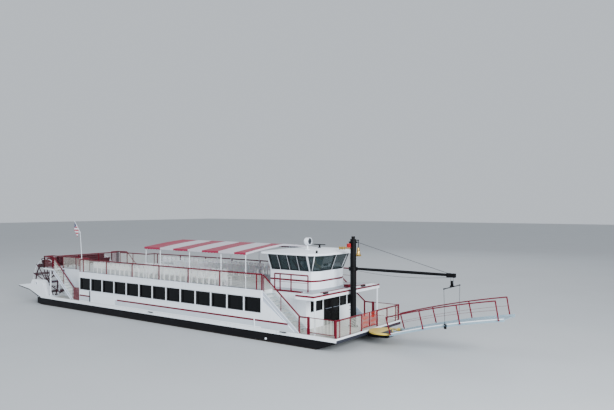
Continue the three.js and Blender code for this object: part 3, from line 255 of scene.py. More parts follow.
def densely(path, step=0.5):
    """A path with extra points just before and after each corner, so that a swept strip keeps its width."""
    path = np.asarray(path, float)
    pieces = [path[:1]]
    for start, end in zip(path[:-1], path[1:]):
        along = (end - start) / np.linalg.norm(end - start)
        pieces += [start[None] + along * step, end[None] - along * step, end[None]]
    return np.concatenate(pieces)


def lining(corners, outward, depth, width=16, proud=4, lip=0):
    """A strip that lines an opening, with a lip on the wall round it. Each side has its own outward
    direction, and its inward one is outward cross along. Inner corner = corner + width * (sum of the inward
    directions of the two sides) / (1 + their dot product), and the lip's corner lies the other way."""
    corners = np.asarray(corners, float)
    outward = np.broadcast_to(np.asarray(outward, float), corners.shape)
    if np.cross(corners, np.roll(corners, -1, axis=0)).sum(axis=0) @ outward.sum(axis=0) < 0:
        corners, outward = corners[::-1], np.roll(outward[::-1], -1, axis=0)
    along = np.roll(corners, -1, axis=0) - corners
    inward = np.cross(outward, along / np.linalg.norm(along, axis=1, keepdims=True))
    before = np.roll(inward, 1, axis=0)
    mitre = (inward + before) / (1 + (inward * before).sum(axis=1, keepdims=True))
    facing = outward + np.roll(outward, 1, axis=0)
    facing /= np.linalg.norm(facing, axis=1, keepdims=True)
    rings = [corners - mitre * lip + facing * proud, corners + mitre * width + facing * proud,
             corners + mitre * width - facing * depth, corners - facing * depth]
    if lip:
        rings += [corners + facing * 0.4, corners - mitre * lip + facing * 0.4]
    return grid(np.stack(rings), closed_rows=True, closed_columns=True)


def add_piece(name, shapes, finish, replaces=(), body=BODY, slot=None, bevel=0, smooth=40):
    """Makes one object from shapes, brought to half scale. It sits at the origin and rides on its body, or
    on none where it runs between two. The slot argument is not used."""
    points, faces = joined(shapes)
    mesh = bpy.data.meshes.new(name)
    corners = faces[faces >= 0]
    counts = np.where(faces[:, 3] < 0, 3, 4)
    mesh.vertices.add(len(points))
    mesh.vertices.foreach_set("co", (points * MM).astype(np.float32).ravel())
    mesh.loops.add(len(corners))
    mesh.loops.foreach_set("vertex_index", corners.astype(np.int32))
    mesh.polygons.add(len(faces))
    mesh.polygons.foreach_set("loop_start", np.concatenate([[0], np.cumsum(counts)[:-1]]).astype(np.int32))
    mesh.polygons.foreach_set("use_smooth", np.ones(len(faces), bool))
    mesh.update(calc_edges=True)
    mesh.set_sharp_from_angle(angle=np.radians(smooth))
    mesh.materials.append(finish_for(finish))
    piece = bpy.data.objects.new(name, mesh)
    bpy.context.scene.collection.objects.link(piece)
    if bevel:
        rounding = piece.modifiers.new("Rounded edges", "BEVEL")
        rounding.width = bevel * MM
        rounding.segments = 1
        rounding.limit_method = "ANGLE"
    if body:
        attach(piece, body)
    slot = slot or SLOTS.get(finish)
    if replaces:
        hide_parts(*replaces)
    return piece


def dress(finish, *nodes):
    """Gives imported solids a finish."""
    for name in nodes:
        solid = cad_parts[name]
        solid.data.materials.clear()
        solid.data.materials.append(finish_for(finish))


# Materials


def linear(code):
    """An sRGB hex colour as linear RGBA: c / 12.92 below 0.04045, else ((c + 0.055) / 1.055) ** 2.4."""
    value = np.array([int(code[i:i + 2], 16) for i in (1, 3, 5)]) / 255
    value = np.where(value <= 0.04045, value / 12.92, ((value + 0.055) / 1.055) ** 2.4)
    return (*value.tolist(), 1.0)


def paint(colour):
    """The linear value of a hex colour, or of a colour that the panel names."""
    if colour.startswith("#"):
        return linear(colour)
    return tuple(getattr(bpy.context.scene.boat_colours, colour))


def add_node(tree, kind, settings=None, links=None):
    """Adds a node. Settings go to its inputs by name or number, or else to its properties."""
    made = tree.nodes.new(kind)
    for key, value in (settings or {}).items():
        if isinstance(key, str) and key not in made.inputs:
            setattr(made, key, value)
    for key, value in (settings or {}).items():
        if not isinstance(key, str) or key in made.inputs:
            made.inputs[key].default_value = value
    for key, source in (links or {}).items():
        tree.links.new(source, made.inputs[key])
    return made


def per_metre(size_mm):
    """A noise scale whose features have this real size on the model."""
    return 1000 / size_mm


class Finish:
    """One procedural material while it is built: its tree, its shader and the model's own coordinates."""

    def __init__(self, name, roughness=0.5, metallic=0.0, specular=0.5, **shader):
        self.material = bpy.data.materials.new(name)
        self.material.use_nodes = True
        self.tree = self.material.node_tree
        self.tree.nodes.clear()
        self.shader = add_node(self.tree, "ShaderNodeBsdfPrincipled", {
            "Roughness": roughness, "Metallic": metallic, "Specular IOR Level": specular, **shader})
        add_node(self.tree, "ShaderNodeOutputMaterial", links={"Surface": self.shader.outputs["BSDF"]})
        self.object = add_node(self.tree, "ShaderNodeTexCoord").outputs["Object"]
        self.x, self.y, self.z = self.axes_of(self.object)
        self.base = None

    def axes_of(self, vector):
        """The three parts of a vector."""
        return add_node(self.tree, "ShaderNodeSeparateXYZ", links={"Vector": vector}).outputs

    def maths(self, operation, a, b=None):
        """One sum on numbers or sockets."""
        settings, links = {"operation": operation}, {}
        for key, value in ((0, a), (1, b)):
            if isinstance(value, bpy.types.NodeSocket):
                links[key] = value
            elif value is not None:
                settings[key] = value
        return add_node(self.tree, "ShaderNodeMath", settings, links).outputs[0]

    def times(self, a, b):
        return self.maths("MULTIPLY", a, b)

    def plus(self, a, b):
        return self.maths("ADD", a, b)

    def above(self, value, limit):
        """1 where the value is above the limit, or else 0."""
        return self.maths("GREATER_THAN", value, limit)

    def below(self, value, limit):
        """1 where the value is below the limit, or else 0."""
        return self.maths("LESS_THAN", value, limit)

    def band(self, value, pitch, share):
        """1 in the first share of each pitch along a value, and 0 in the rest."""
        return self.below(self.maths("FRACT", self.maths("DIVIDE", value, pitch)), share)

    def wave(self, value, rate):
        """Sine of the value times the rate, which is in radians per metre."""
        return self.maths("SINE", self.times(value, rate))

    def noise(self, size_mm, stretch=(1, 1, 1), detail=3):
        """Noise whose blots are this many millimetres across, stretched along the axes."""
        scale = [1 / part for part in stretch]
        place_in = add_node(self.tree, "ShaderNodeMapping", {"Scale": scale}, {"Vector": self.object})
        return add_node(self.tree, "ShaderNodeTexNoise", {"Scale": per_metre(size_mm), "Detail": detail},
                        {"Vector": place_in.outputs[0]}).outputs[0]

    def ramp(self, value, low, high):
        """0 below low, 1 above high."""
        ends = {"From Min": low, "From Max": high}
        return add_node(self.tree, "ShaderNodeMapRange", ends, {"Value": value}).outputs[0]

    def blots(self, size_mm, low, high, *noise):
        """Noise as soft-edged blots: 0 where it is below low and 1 where it is above high."""
        return self.ramp(self.noise(size_mm, *noise), low, high)

    def mix(self, share, a, b):
        """Colour a where the share is 0 and b where it is 1. Each is a socket, a hex or a panel's colour."""
        settings, links = {"data_type": "RGBA"}, {0: share}
        for key, colour in ((6, a), (7, b)):
            if isinstance(colour, str):
                settings[key] = paint(colour)
            else:
                links[key] = colour
        return add_node(self.tree, "ShaderNodeMix", settings, links).outputs[2]

    def colour(self, share, a, b):
        """Mixes the base colour from a and b. The last one mixed counts, and it may use the one before."""
        self.base = self.mix(share, a, b)
        self.tree.links.new(self.base, self.shader.inputs["Base Color"])

    def roughness(self, value, low, high):
        """Roughness from low to high as the value goes from 0 to 1."""
        made = add_node(self.tree, "ShaderNodeMapRange", {"To Min": low, "To Max": high}, {"Value": value})
        self.tree.links.new(made.outputs[0], self.shader.inputs["Roughness"])

    def bump(self, height, depth_mm):
        """Relief of this many millimetres from a height of 0 to 1."""
        settings = {"Distance": depth_mm / 1000, "Strength": 1.0}
        made = add_node(self.tree, "ShaderNodeBump", settings, {"Height": height})
        self.tree.links.new(made.outputs[0], self.shader.inputs["Normal"])


def colour_property(title, code):
    return bpy.props.FloatVectorProperty(name=title, description=f"{title}, as linear colour", size=4,
                                         subtype="COLOR", min=0, max=1, default=linear(code))


class BoatColours(bpy.types.PropertyGroup):
    """Paint and cloth colours of the boat."""

    white: colour_property("White paint", "#e9eef5")
    black: colour_property("Hull paint", "#08070b")
    red: colour_property("Railing paint", "#60001a")
    # Very dark maroon: the wheel's wet paint, darkened further as painted shade under the deck overhang
    wheel: colour_property("Wheel paint", "#3c0a1c")
    yellow: colour_property("Turntable paint", "#cdb14a")
    stage: colour_property("Landing stage", "#93a9b6")
    awning: colour_property("Awning stripe", "#8c0c36")
    awning_pale: colour_property("Awning light stripe", "#b4b0b8")
    chair: colour_property("Armchairs", "#f2f3f5")
    panes: colour_property("Cabin window panes", "#030406")


def length_property(title, words, default_mm):
    """A length on the real boat, shown in millimetres."""
    return bpy.props.FloatProperty(name=title, description=words + ", on the real boat, in millimetres",
                                   default=default_mm, min=1)


class BoatSizes(bpy.types.PropertyGroup):
    """Sizes of the fittings that the solids don't fix, in millimetres on the real boat."""

    wire_pitch: length_property("Mesh pitch", "Distance between the wires of a railing panel", 100)
    wire: length_property("Mesh wire", "Thickness of the wires of a railing panel", 8)
    plank: length_property("Deck plank", "Width of a foredeck plank", 140)
    awning_sag: length_property("Awning sag", "How far the awning hangs down between its frames", 45)
    scallop: length_property("Awning scallop", "Length of one scallop of the awning's edge", 300)


def sizes():
    return bpy.context.scene.boat_sizes


def enamel(name, colour, grime, grime_share, roughness, streak_mm=60, specular=0.5):
    """Brushed alkyd enamel on steel plate: a satin skin with faint brush marks, rain streaks that run down
    from edges, and a little grime. The streaks are eight times as long as they are apart."""
    made = Finish(name, specular=specular)
    streaks = made.blots(streak_mm, 0.5, 0.85, (1, 1, 8))
    cloud = made.blots(900, 0.35, 0.7)
    made.colour(made.times(made.times(streaks, cloud), grime_share), colour, grime)
    made.roughness(cloud, *roughness)
    made.bump(made.noise(14, (1, 1, 3)), 0.4)
    return made


# Plain enamels: the real finish, paint, grime and its share, roughness where clean and dirty, and where they
# differ from the usual ones the distance between streaks and the specular level
ENAMELS = {
    # Bluish white on the upperworks: satin, with grey rain streaks
    "white": ("White enamel on steel", "white", "#a9b1bd", 0.4, (0.32, 0.5)),
    # Signal red gloss on railing tube, a little darker where hands have worn it
    "red": ("Red gloss enamel on tube", "red", "#6c0c20", 0.35, (0.3, 0.45), 25, 0.2),
    # Black gloss on the mast and boom, slightly blue
    "black": ("Black gloss enamel on steel", "#060608", "#1c1d22", 0.5, (0.35, 0.5), 40, 0.12),
    # Pale blue grey on the stairs' channels: painted shade between the white flanges
    "channel_shade": ("Pale grey enamel on stair channel", "#b2bac8", "#8f97a6", 0.5, (0.4, 0.55)),
    # Navy on the board at the deck's front edge, rubbed pale by ropes
    "navy": ("Navy enamel on head log", "#1d1f2b", "#333647", 0.6, (0.4, 0.55), 40),
    # Satin grey on machinery and its small parts
    "grey": ("Grey machinery enamel", "#6d7480", "#3f434a", 0.6, (0.35, 0.55), 40),
    # Cream on the railings' wire panels: it shows as a pale veil over what stands behind
    "wire": ("Cream enamel on welded wire", "#dfe0d6", "#a8a596", 0.5, (0.4, 0.6), 20),
    # Reddish brown on the stern gates and the stern rail's panels
    "brown": ("Red-brown enamel on welded wire", "#74363c", "#4c2024", 0.6, (0.4, 0.6), 20),
    # Orange on the bow gates' folding lattice
    "orange": ("Orange enamel on flat bar", "#b42606", "#7c1c06", 0.5, (0.3, 0.5), 20),
}


def cabin_wall():
    """White enamel on the cabin walls: greyer below the red stripe, partly where the river's spray dulls it
    and partly as painted shade under the guard.
    """
    made = enamel("White enamel on cabin wall", "white", "#a9b1bd", 0.4, (0.32, 0.5))
    edge, soft = STRIPE_Z * MM, 0.01
    # Blue-grey blots below the stripe: spray dulling and painted shade together
    dull = made.mix(made.blots(500, 0.3, 0.8, (3, 3, 1)), "#c9d0d8", "#b4bcc6")
    made.colour(made.ramp(made.z, edge + soft, edge - soft), made.base, dull)
    return made


def beam_enamel():
    """White enamel outside, and near-black painted shade on the inner faces behind the wheel."""
    made = enamel("White enamel and black bitumen on wheel beams", "white", "#a9b1bd", 0.4, (0.35, 0.55))
    inner_face = (HALF_BEAM - 595) * MM
    # Inner faces painted near black: painted shade behind the wheel
    made.colour(made.below(made.maths("ABSOLUTE", made.y), inner_face), made.base, "#101218")
    return made


def hull_paint():
    """Black bituminous hull paint: matt, chalky in patches, with a brown scum line above the water."""
    made = Finish("Black bitumen paint on hull plate", specular=0.15)
    cloud = made.blots(350, 0.4, 0.75, (2, 2, 1))
    base = made.mix(made.times(cloud, 0.3), "black", "#14131a")
    ragged = made.plus(made.z, made.times(made.noise(180), 0.03))
    scum_top, scum_full = 0.6, 0.565
    made.colour(made.times(made.ramp(ragged, scum_top, scum_full), 0.7), base, "#4a4338")
    made.roughness(cloud, 0.38, 0.6)
    # Plate seams a few millimetres wide, 1.2 m of the model apart, and the dull dents of welded frames
    seam = made.band(made.x, 1.2, 0.006)
    made.bump(made.maths("SUBTRACT", made.noise(420, (1, 1, 2)), made.times(seam, 0.5)), 2.5)
    return made


def main_deck_finish():
    """The deck slab: white enamel on its edge, black enamel on the cleats that stand off it, and tan
    planks with dark seams on top."""
    made = enamel("White enamel deck edge and oiled planks", "white", "#8f97a3", 0.6, (0.35, 0.5))
    plank = sizes().plank * MM
    number = made.maths("FLOOR", made.maths("DIVIDE", made.y, plank))
    tint = add_node(made.tree, "ShaderNodeTexWhiteNoise", {"noise_dimensions": "1D"},
                    {"W": number}).outputs[0]
    grain = made.noise(22, (14, 1, 1), 5)
    planks = made.mix(made.plus(made.times(tint, 0.5), made.times(grain, 0.5)), "#98948e", "#bcb8b0")
    planks = made.mix(made.times(made.band(made.y, plank, 0.05), 0.8), planks, "#2e2822")
    made.colour(made.above(made.z, (DECK - 2) * MM), made.base, planks)
    cleat = made.above(made.maths("ABSOLUTE", made.y), (HALF_BEAM + 42) * MM)
    made.colour(cleat, made.base, "#15151a")
    return made


def upper_deck_finish():
    """The upper deck: white enamel fascia, and grey deck paint with sand in it on the floor."""
    made = enamel("White enamel and gritted grey deck paint", "white", "#9aa3b0", 0.5, (0.35, 0.55))
    # Grit of 0.5 mm is too fine to show, so it is drawn 6 mm coarse
    floor = made.mix(made.blots(6, 0.4, 0.6), "#8d949c", "#a7adb4")
    made.colour(made.above(made.z, (UPPER_DECK - 2) * MM), made.base, floor)
    return made


def wheel_enamel():
    """Maroon enamel on wet timber boards, worn along the grain, with navy-black blots that are partly wet
    slime and partly painted shade under the deck overhang.
    """
    made = Finish("Maroon enamel on wet oak boards")
    grain = made.noise(18, (1, 16, 1), 5)
    worn = made.ramp(grain, 0.52, 0.75)
    base = made.mix(made.times(worn, 0.55), "wheel", "#1c1014")
    # Navy-black blots: wet slime and painted shade of the overhang together
    made.colour(made.times(made.blots(260, 0.55, 0.8), 0.7), base, "#10141c")
    made.roughness(worn, 0.28, 0.6)
    made.bump(grain, 1.5)
    return made


def yellow_deck_paint():
    """Yellow safety paint on chequer plate, scuffed by feet."""
    made = enamel("Yellow safety paint on tread plate", "yellow", "#7c6f4a", 0.7, (0.4, 0.6), 35)
    made.bump(made.blots(16, 0.5, 0.6), 0.8)
    return made


def stage_aluminium():
    """Mill-finish aluminium plate of the landing stage, oxidised to a pale blue grey."""
    made = Finish("Oxidised aluminium plate", metallic=0.15)
    cloud = made.noise(160, (3, 1, 1), 4)
    made.colour(made.ramp(cloud, 0.3, 0.9), "stage", "#8197a5")
    made.roughness(cloud, 0.45, 0.65)
    made.bump(made.noise(10, (5, 1, 1)), 0.3)
    return made


def chair_resin():
    """Injection-moulded polypropylene: slightly translucent white with a fine grain."""
    made = Finish("Moulded white polypropylene", 0.42, **{"Subsurface Weight": 0.08, "IOR": 1.49})
    made.colour(made.blots(300, 0.4, 0.8), "chair", "#d9dbdd")
    made.bump(made.noise(5), 0.15)
    return made


def dark_window():
    """Tinted window glass seen from outside: nearly black, with a soft reflection and a thin water film."""
    made = Finish("Dark tinted safety glass", 0.1, specular=0.15, IOR=1.52)
    made.colour(made.noise(700), "panes", "#06080b")
    made.bump(made.noise(900), 0.6)
    return made


def gasket_rubber():
    """Black glazing rubber round the panes: dull, with a chalky bloom."""
    made = Finish("Black glazing rubber", 0.7)
    made.colour(made.blots(40, 0.5, 0.8), "#0b0c0f", "#1c1e22")
    made.bump(made.noise(9), 0.2)
    return made


def pilot_window():
    """Lightly tinted pilot-house glass: dark teal that lets some light through."""
    made = Finish("Teal tinted pilot-house glass", 0.04, specular=0.6,
                  **{"Transmission Weight": 0.75, "IOR": 1.45})
    made.colour(made.noise(600), "#5c6f72", "#48595c")
    return made


def weathered_brass():
    """Cast brass, brown where it isn't rubbed."""
    made = Finish("Weathered cast brass", metallic=1.0)
    brown = made.blots(35, 0.45, 0.75)
    made.colour(brown, "#d2ab5c", "#6f5224")
    made.roughness(brown, 0.25, 0.55)
    made.bump(made.noise(6), 0.2)
    return made


def wire_rope():
    """Greased steel wire rope: the lay is a fine slanted ripple."""
    made = Finish("Greased steel wire rope", 0.45, 0.6)
    lay = made.wave(made.plus(made.x, made.z), 600)
    made.colour(made.ramp(lay, -1, 1), "#15161a", "#3c3f45")
    made.bump(lay, 0.5)
    return made


def rubber_mat():
    """Black ribbed rubber, dusty: its ribs are 15 mm apart."""
    made = Finish("Ribbed black rubber", 0.75)
    made.colour(made.blots(60, 0.4, 0.8), "#22242a", "#45474d")
    made.bump(made.ramp(made.wave(made.y, 420), -1, 1), 1.2)
    return made


def lamp_red():
    """Red glass of the masthead lamp."""
    made = Finish("Red lamp glass", 0.08, IOR=1.5, **{"Transmission Weight": 0.3})
    made.colour(made.noise(80), "#c8242b", "#7c0f14")
    return made


def lens_black():
    """Searchlight front: dark glass over a dull reflector with fine ribs."""
    made = Finish("Searchlight lens", 0.05, **{"Coat Weight": 1.0})
    made.colour(made.ramp(made.wave(made.z, 500), -1, 1), "#101317", "#20262c")
    return made


def striped_canvas():
    """Acrylic awning canvas: rose stripes that run across the boat, light grey between, with a plain weave.
    A thread pitch of 0.6 mm is too fine to show, so the weave is drawn 8 mm coarse."""
    made = Finish("Striped acrylic canvas", 0.85, **{"Sheen Weight": 0.05, "Sheen Roughness": 0.5})
    aft = made.maths("SUBTRACT", BOW * MM, made.x)
    weave = 785
    stripes = [made.times(made.above(aft, first * MM), made.below(aft, last * MM))
               for first, last in AWNING_STRIPES]
    share = stripes[0]
    for stripe in stripes[1:]:
        share = made.plus(share, stripe)
    weather = made.blots(700, 0.35, 0.8)
    rose = made.mix(made.times(weather, 0.4), "awning", "#8a2448")
    pale = made.mix(made.times(weather, 0.5), "awning_pale", "#b8b9c2")
    made.colour(share, pale, rose)
    made.bump(made.ramp(made.times(made.wave(made.x, weave), made.wave(made.y, weave)), -1, 1), 0.5)
    return made


def striped_bunting():
    """Woven nylon bunting: red and white stripes by the cloth's own map, and a blue upper corner."""
    made = Finish("Striped nylon bunting", 0.7, **{"Sheen Weight": 0.3})
    cloth = add_node(made.tree, "ShaderNodeUVMap", {"uv_map": "cloth"})
    along, height = made.axes_of(cloth.outputs[0])[:2]
    stripe = made.below(made.maths("FRACT", made.times(height, 5)), 0.5)
    base = made.mix(stripe, "#d8d9e2", "#a32036")
    made.colour(made.times(made.above(along, 0.6), made.above(height, 0.5)), base, "#343a63")
    made.bump(made.noise(7), 0.4)
    return made


MAKERS = {
    "wall": cabin_wall, "beam": beam_enamel, "hull": hull_paint, "main deck": main_deck_finish,
    "upper deck": upper_deck_finish, "wheel": wheel_enamel, "yellow": yellow_deck_paint,
    "stage": stage_aluminium, "chair": chair_resin, "window": dark_window, "gasket": gasket_rubber,
    "pilot window": pilot_window, "brass": weathered_brass, "rope": wire_rope, "mat": rubber_mat,
    "lamp": lamp_red, "lens": lens_black, "canvas": striped_canvas, "bunting": striped_bunting,
}
# The material slot of the solids that each finish mostly stands for
SLOTS = {
    "white": "white_paint", "channel_shade": "white_paint", "red": "rail_red", "wire": "rail_red", "orange": "rail_red",
    "lamp": "rail_red", "black": "mast_black", "rope": "mast_black", "grey": "steel_grey",
    "brown": "gate_brown", "window": "dark_glass", "gasket": "dark_glass", "pilot window": "dark_glass",
    "lens": "dark_glass", "hull": "hull_black", "wheel": "wheel_red", "stage": "stage_grey", "brass": "brass",
    "chair": "chair_white", "canvas": "awning_cloth", "bunting": "flag_cloth",
}
MATERIALS = {}


def finish_for(name):
    """The finished material of that name, made the first time it is asked for."""
    if name not in MATERIALS:
        made = enamel(*ENAMELS[name]) if name in ENAMELS else MAKERS[name]()
        MATERIALS[name] = made.material
    return MATERIALS[name]


# Hull and main deck

FENDER_PROFILE = [(-4, -30), (26, -18), (32, 0), (26, 18), (-4, 30)]
FENDER_ENDS = (40, 31870)
FENDER_Z = HULL_TOP - 60
OUTLET_AFT = 5370
# The cooling-water outlet's pipe and flange: reach and height at each end, radius and sides
OUTLET = [((-10, 1300), (70, 1280), 42, 14), ((-5, 1299), (14, 1294), 75, 18)]


class MakeHull(bpy.types.Operator):
    """Hull, deck slab and the fittings along the hull's side"""

    bl_idname = "boat.hull"
    bl_label = "Hull"

    def execute(self, context):
        dress("hull", "hull", "stage_bracket", "rudder_starboard", "rudder_port")
        dress("main deck", "main_deck")
        dress("navy", "head_log")
        dress("grey", "engine")
        guards = [sweep(FENDER_PROFILE, place(FENDER_ENDS, side * HALF_BEAM, FENDER_Z)[::side])
                  for side in SIDES.values()]
        add_piece("hull_rub_rails", guards, "hull")
        outlet = []
        for *ends, radius, sides in OUTLET:
            places = [place(OUTLET_AFT, STARBOARD * (HALF_BEAM + reach), height) for reach, height in ends]
            outlet.append(rods(*places, radius, sides))
        add_piece("water_outlet", outlet, "white")
        return {"FINISHED"}


# Cabins

WINDOWS = 5840 + 1524 * np.arange(13)
WINDOW_WIDTH = 1330
WINDOW_Z = (WATER + 2070, WATER + 2970)
# The gaskets' lip lies on the wall round each window
LIP = 34
FRONT_WALL = 3000
FRONT_WINDOWS = [(1040, 1820), (1980, 2330)]
FRONT_WINDOW_Z = (DECK + RAIL_HEIGHT, WATER + 2930)
STRIPE_Z = WATER + 1550
STRIPE_HALF = 58
STRIPES = [(3600, 20600), (24200, 25550)]
FOOT_STRIP = (5780, 25590)
SIDE_BOARD, SIDE_BOARD_Z = (20850, 23980), (WATER + 1130, WATER + 1720)
SIDE_FENDER_AFT = 24120
VENT_AFT = 6350
HOUSE_AFT = 29200
LOUVRES, LOUVRE_Z = (900, 1900), WATER + 1500 + 70 * np.arange(14)
LOUVRE_FRAME_Z = (WATER + 1440, WATER + 2560)


def upright_opening(first, last, across, low, high):
    """The four corners of an opening in an upright wall that runs fore and aft."""
    return place([first, last, last, first], across, [low, low, high, high])


def side_plate(side, aft, height, proud):
    """A plate on the side wall, between two stations and two heights."""
    return boxes(place(aft[0], side * HALF_BEAM, height[0]),
                 place(aft[1], side * (HALF_BEAM + proud), height[1]))


def side_pipe(side, aft, off, top, foot, radius):
    """An upright pipe whose middle stands off the side wall."""
    across = side * (HALF_BEAM + off)
    return rods(place(aft, across, foot), place(aft, across, top), radius, 12)


class MakeCabins(bpy.types.Operator):
    """Cabin walls, windows, stripes and blank boards"""

    bl_idname = "boat.cabins"
    bl_label = "Cabins"

    def execute(self, context):
        dress("wall", "cabin_side_starboard", "cabin_side_port", "stern_house_walls")
        dress("white", "forward_cabin_walls")
        dress("window", "cabin_glass_starboard", "cabin_glass_port")
        for word, side in SIDES.items():
            self.side_trim(word, side, side * HALF_BEAM, (0, side, 0))
        self.front_wall()
        self.stern_wall()
        return {"FINISHED"}

    def side_trim(self, word, side, face, outward):
        """Gaskets, ledges, stripe, board, fender and vent pipe of one cabin side."""
        openings = [upright_opening(first, first + WINDOW_WIDTH, face, *WINDOW_Z) for first in WINDOWS]
        gaskets = [lining(opening, outward, 100, lip=LIP) for opening in openings]
        add_piece(f"window_gaskets_{word}", gaskets, "gasket")
        sill, ends = WINDOW_Z[0], (WINDOWS[0] - 60, WINDOWS[-1] + WINDOW_WIDTH + 60)
        ledges = [side_plate(side, ends, (sill - 100, sill - 40), 34),
                  side_plate(side, FOOT_STRIP, (DECK, DECK + 70), 14)]
        add_piece(f"window_ledges_{word}", ledges, "white", bevel=6)
        stripe_z = (STRIPE_Z - STRIPE_HALF, STRIPE_Z + STRIPE_HALF)
        add_piece(f"side_stripe_{word}", [side_plate(side, ends, stripe_z, 5) for ends in STRIPES], "red")
        frame = upright_opening(*SIDE_BOARD, face + side * 16, *SIDE_BOARD_Z)
        board = [side_plate(side, SIDE_BOARD, SIDE_BOARD_Z, 12), lining(frame, outward, 10, 30)]
        add_piece(f"blank_board_{word}", board, "white", bevel=4)
        fender = side_pipe(side, SIDE_FENDER_AFT, 22, WATER + 2000, DECK + 40, 34)
        add_piece(f"side_fender_{word}", [fender], "black")
        add_piece(f"vent_pipe_{word}", [side_pipe(side, VENT_AFT, 20, WATER + 1620, DECK, 28)], "white")

    def front_wall(self):
        """Panes and gaskets of the forward cabin's front windows."""
        panes, gaskets = [], []
        low, high = FRONT_WINDOW_Z
        for side in SIDES.values():
            for near, far in FRONT_WINDOWS:
                corners = place(FRONT_WALL, side * np.array([near, far, far, near]), [low, low, high, high])
                panes.append(boxes(corners[0] - [60, 0, 0], corners[2] - [48, 0, 0]))
                gaskets.append(lining(corners, FORE_AND_AFT, 60, lip=LIP / 2))
        add_piece("front_window_panes", panes, "window")
        add_piece("front_window_gaskets", gaskets, "gasket")

    def stern_wall(self):
        """Louvred vents on the machinery house's aft wall."""
        slats, frames = [], []
        near, far = LOUVRES
        low, high = LOUVRE_FRAME_Z
        for side in SIDES.values():
            slats.append(boxes(place(HOUSE_AFT, side * near, LOUVRE_Z),
                               place(HOUSE_AFT + 26, side * far, LOUVRE_Z + 34)))
            for edge in (near - 40, far):
                frames.append(boxes(place(HOUSE_AFT, side * edge, low),
                                    place(HOUSE_AFT + 30, side * (edge + 40), high)))
        add_piece("stern_louvres", slats, "grey")
        add_piece("stern_louvre_frames", frames, "white")


# Upper deck trim

CANOPY_FRONT = 1600
CANOPY_FALL = 400
CANOPY_EDGE = WATER + 3430
EDGE_STRIP = [(-16, -92), (16, -92), (16, 14), (-16, 14)]
BALCONY_STRIP = (3200, 5700)
DECK_LIGHTS = (-2500, 1990)


class MakeUpperDeck(bpy.types.Operator):
    """Upper deck, its red edge strips, lights and locker on the canopy"""

    bl_idname = "boat.upper_deck"
    bl_label = "Upper deck"

    def execute(self, context):
        dress("upper deck", "upper_deck")
        front = place([FRONT_WALL, CANOPY_FRONT, CANOPY_FRONT, FRONT_WALL],
                      np.array([-1, -1, 1, 1]) * HALF_BEAM, CANOPY_EDGE)
        inner = place(CANOPY_FRONT + CANOPY_FALL, [-2700, 2700], UPPER_DECK + 24)
        runs = [sweep(EDGE_STRIP, densely(front)), sweep(EDGE_STRIP, densely(inner))]
        runs += [sweep(EDGE_STRIP, place(BALCONY_STRIP, side * 2900, UPPER_DECK)) for side in SIDES.values()]
        add_piece("canopy_edge_strips", runs, "red")
        lid = UPPER_DECK + 140
        locker = [boxes(place(2120, 690, UPPER_DECK), place(2480, 1190, lid)),
                  boxes(place(2100, 670, lid), place(2500, 1210, lid + 25))]
        add_piece("canopy_locker", locker, "red", bevel=12)
        aft, foot = CANOPY_FRONT + 80, CANOPY_EDGE + 10
        lights = []
        for across in DECK_LIGHTS:
            stem = place(aft + 55, across, foot)
            lights.append(boxes(place(aft, across - 240, foot), place(aft + 110, across + 240, foot + 95)))
            lights.append(rods(stem - up(40), stem + up(20), 30, 12))
        add_piece("canopy_lights", lights, "black", bevel=5)
        return {"FINISHED"}


# Railings

RAIL_TUBE = 48
POST = 66
CORNER_POST = 110
# Wire panels stand this far off the floor
LOW_RAIL = 90
PANEL_RISE = RAIL_HEIGHT - LOW_RAIL - 60
TOP_RAIL = RAIL_HEIGHT - RAIL_TUBE
RAIL_LINE = HALF_BEAM - 50
BOW_LINE = HALF_BEAM - 80
BOW_AFT = 60
SIDE_POSTS = np.array([5750, 6200, 9500, 12600, 15700, 18800, 22000, 25100, 25550])
WELL_GUARD, WELL_AFT = 3000, 29400
STERN_PATH = np.array([[29550, 3900], [30900, 3900], [30900, 3110], [30040, 3110]])
BALCONY = np.array([2850, 4200, 5100, 5550])
BALCONY_LINE = 2840


def along_line(start, end, shares):
    """Places at shares of the way between two places."""
    return start + (end - start) * np.asarray(shares, float)[:, None]


def wire_panel(start, end, rise, pitch=None, wire=None):
    """Welded wire between two points, raised by rise: upright wires at even spacing and long wires along."""
    pitch, wire = pitch or sizes().wire_pitch, wire or sizes().wire
    count = int(np.linalg.norm(end - start) / pitch)
    feet = along_line(start, end, (np.arange(count) + 0.5) / count)
    lifts = np.linspace(0, rise, int(rise / pitch) + 1)[:, None] * [[0, 0, 1.0]]
    return joined([bars(feet, feet + up(rise), wire), bars(start + lifts, end + lifts, wire)])


def rail_run(start, end, shares, middle=False):
    """Top tube and footed posts at shares of the run, over the floor points start and end."""
    top, half = up(TOP_RAIL), up(RAIL_HEIGHT / 2)
    feet = along_line(start, end, shares)
    shapes = [rods(start + top, end + top, RAIL_TUBE, 12), bars(feet, feet + top, POST),
              boxes(feet - [60, 60, 0], feet + [60, 60, 12])]
    if middle:
        shapes.append(rods(start + half, end + half, RAIL_TUBE * 0.3, 10))
    return joined(shapes)


def panel_run(start, end):
    """The wire panel that fills a run."""
    return wire_panel(start + up(LOW_RAIL), end + up(LOW_RAIL), PANEL_RISE)


def shares_of(stations):
    return (stations - stations[0]) / (stations[-1] - stations[0])


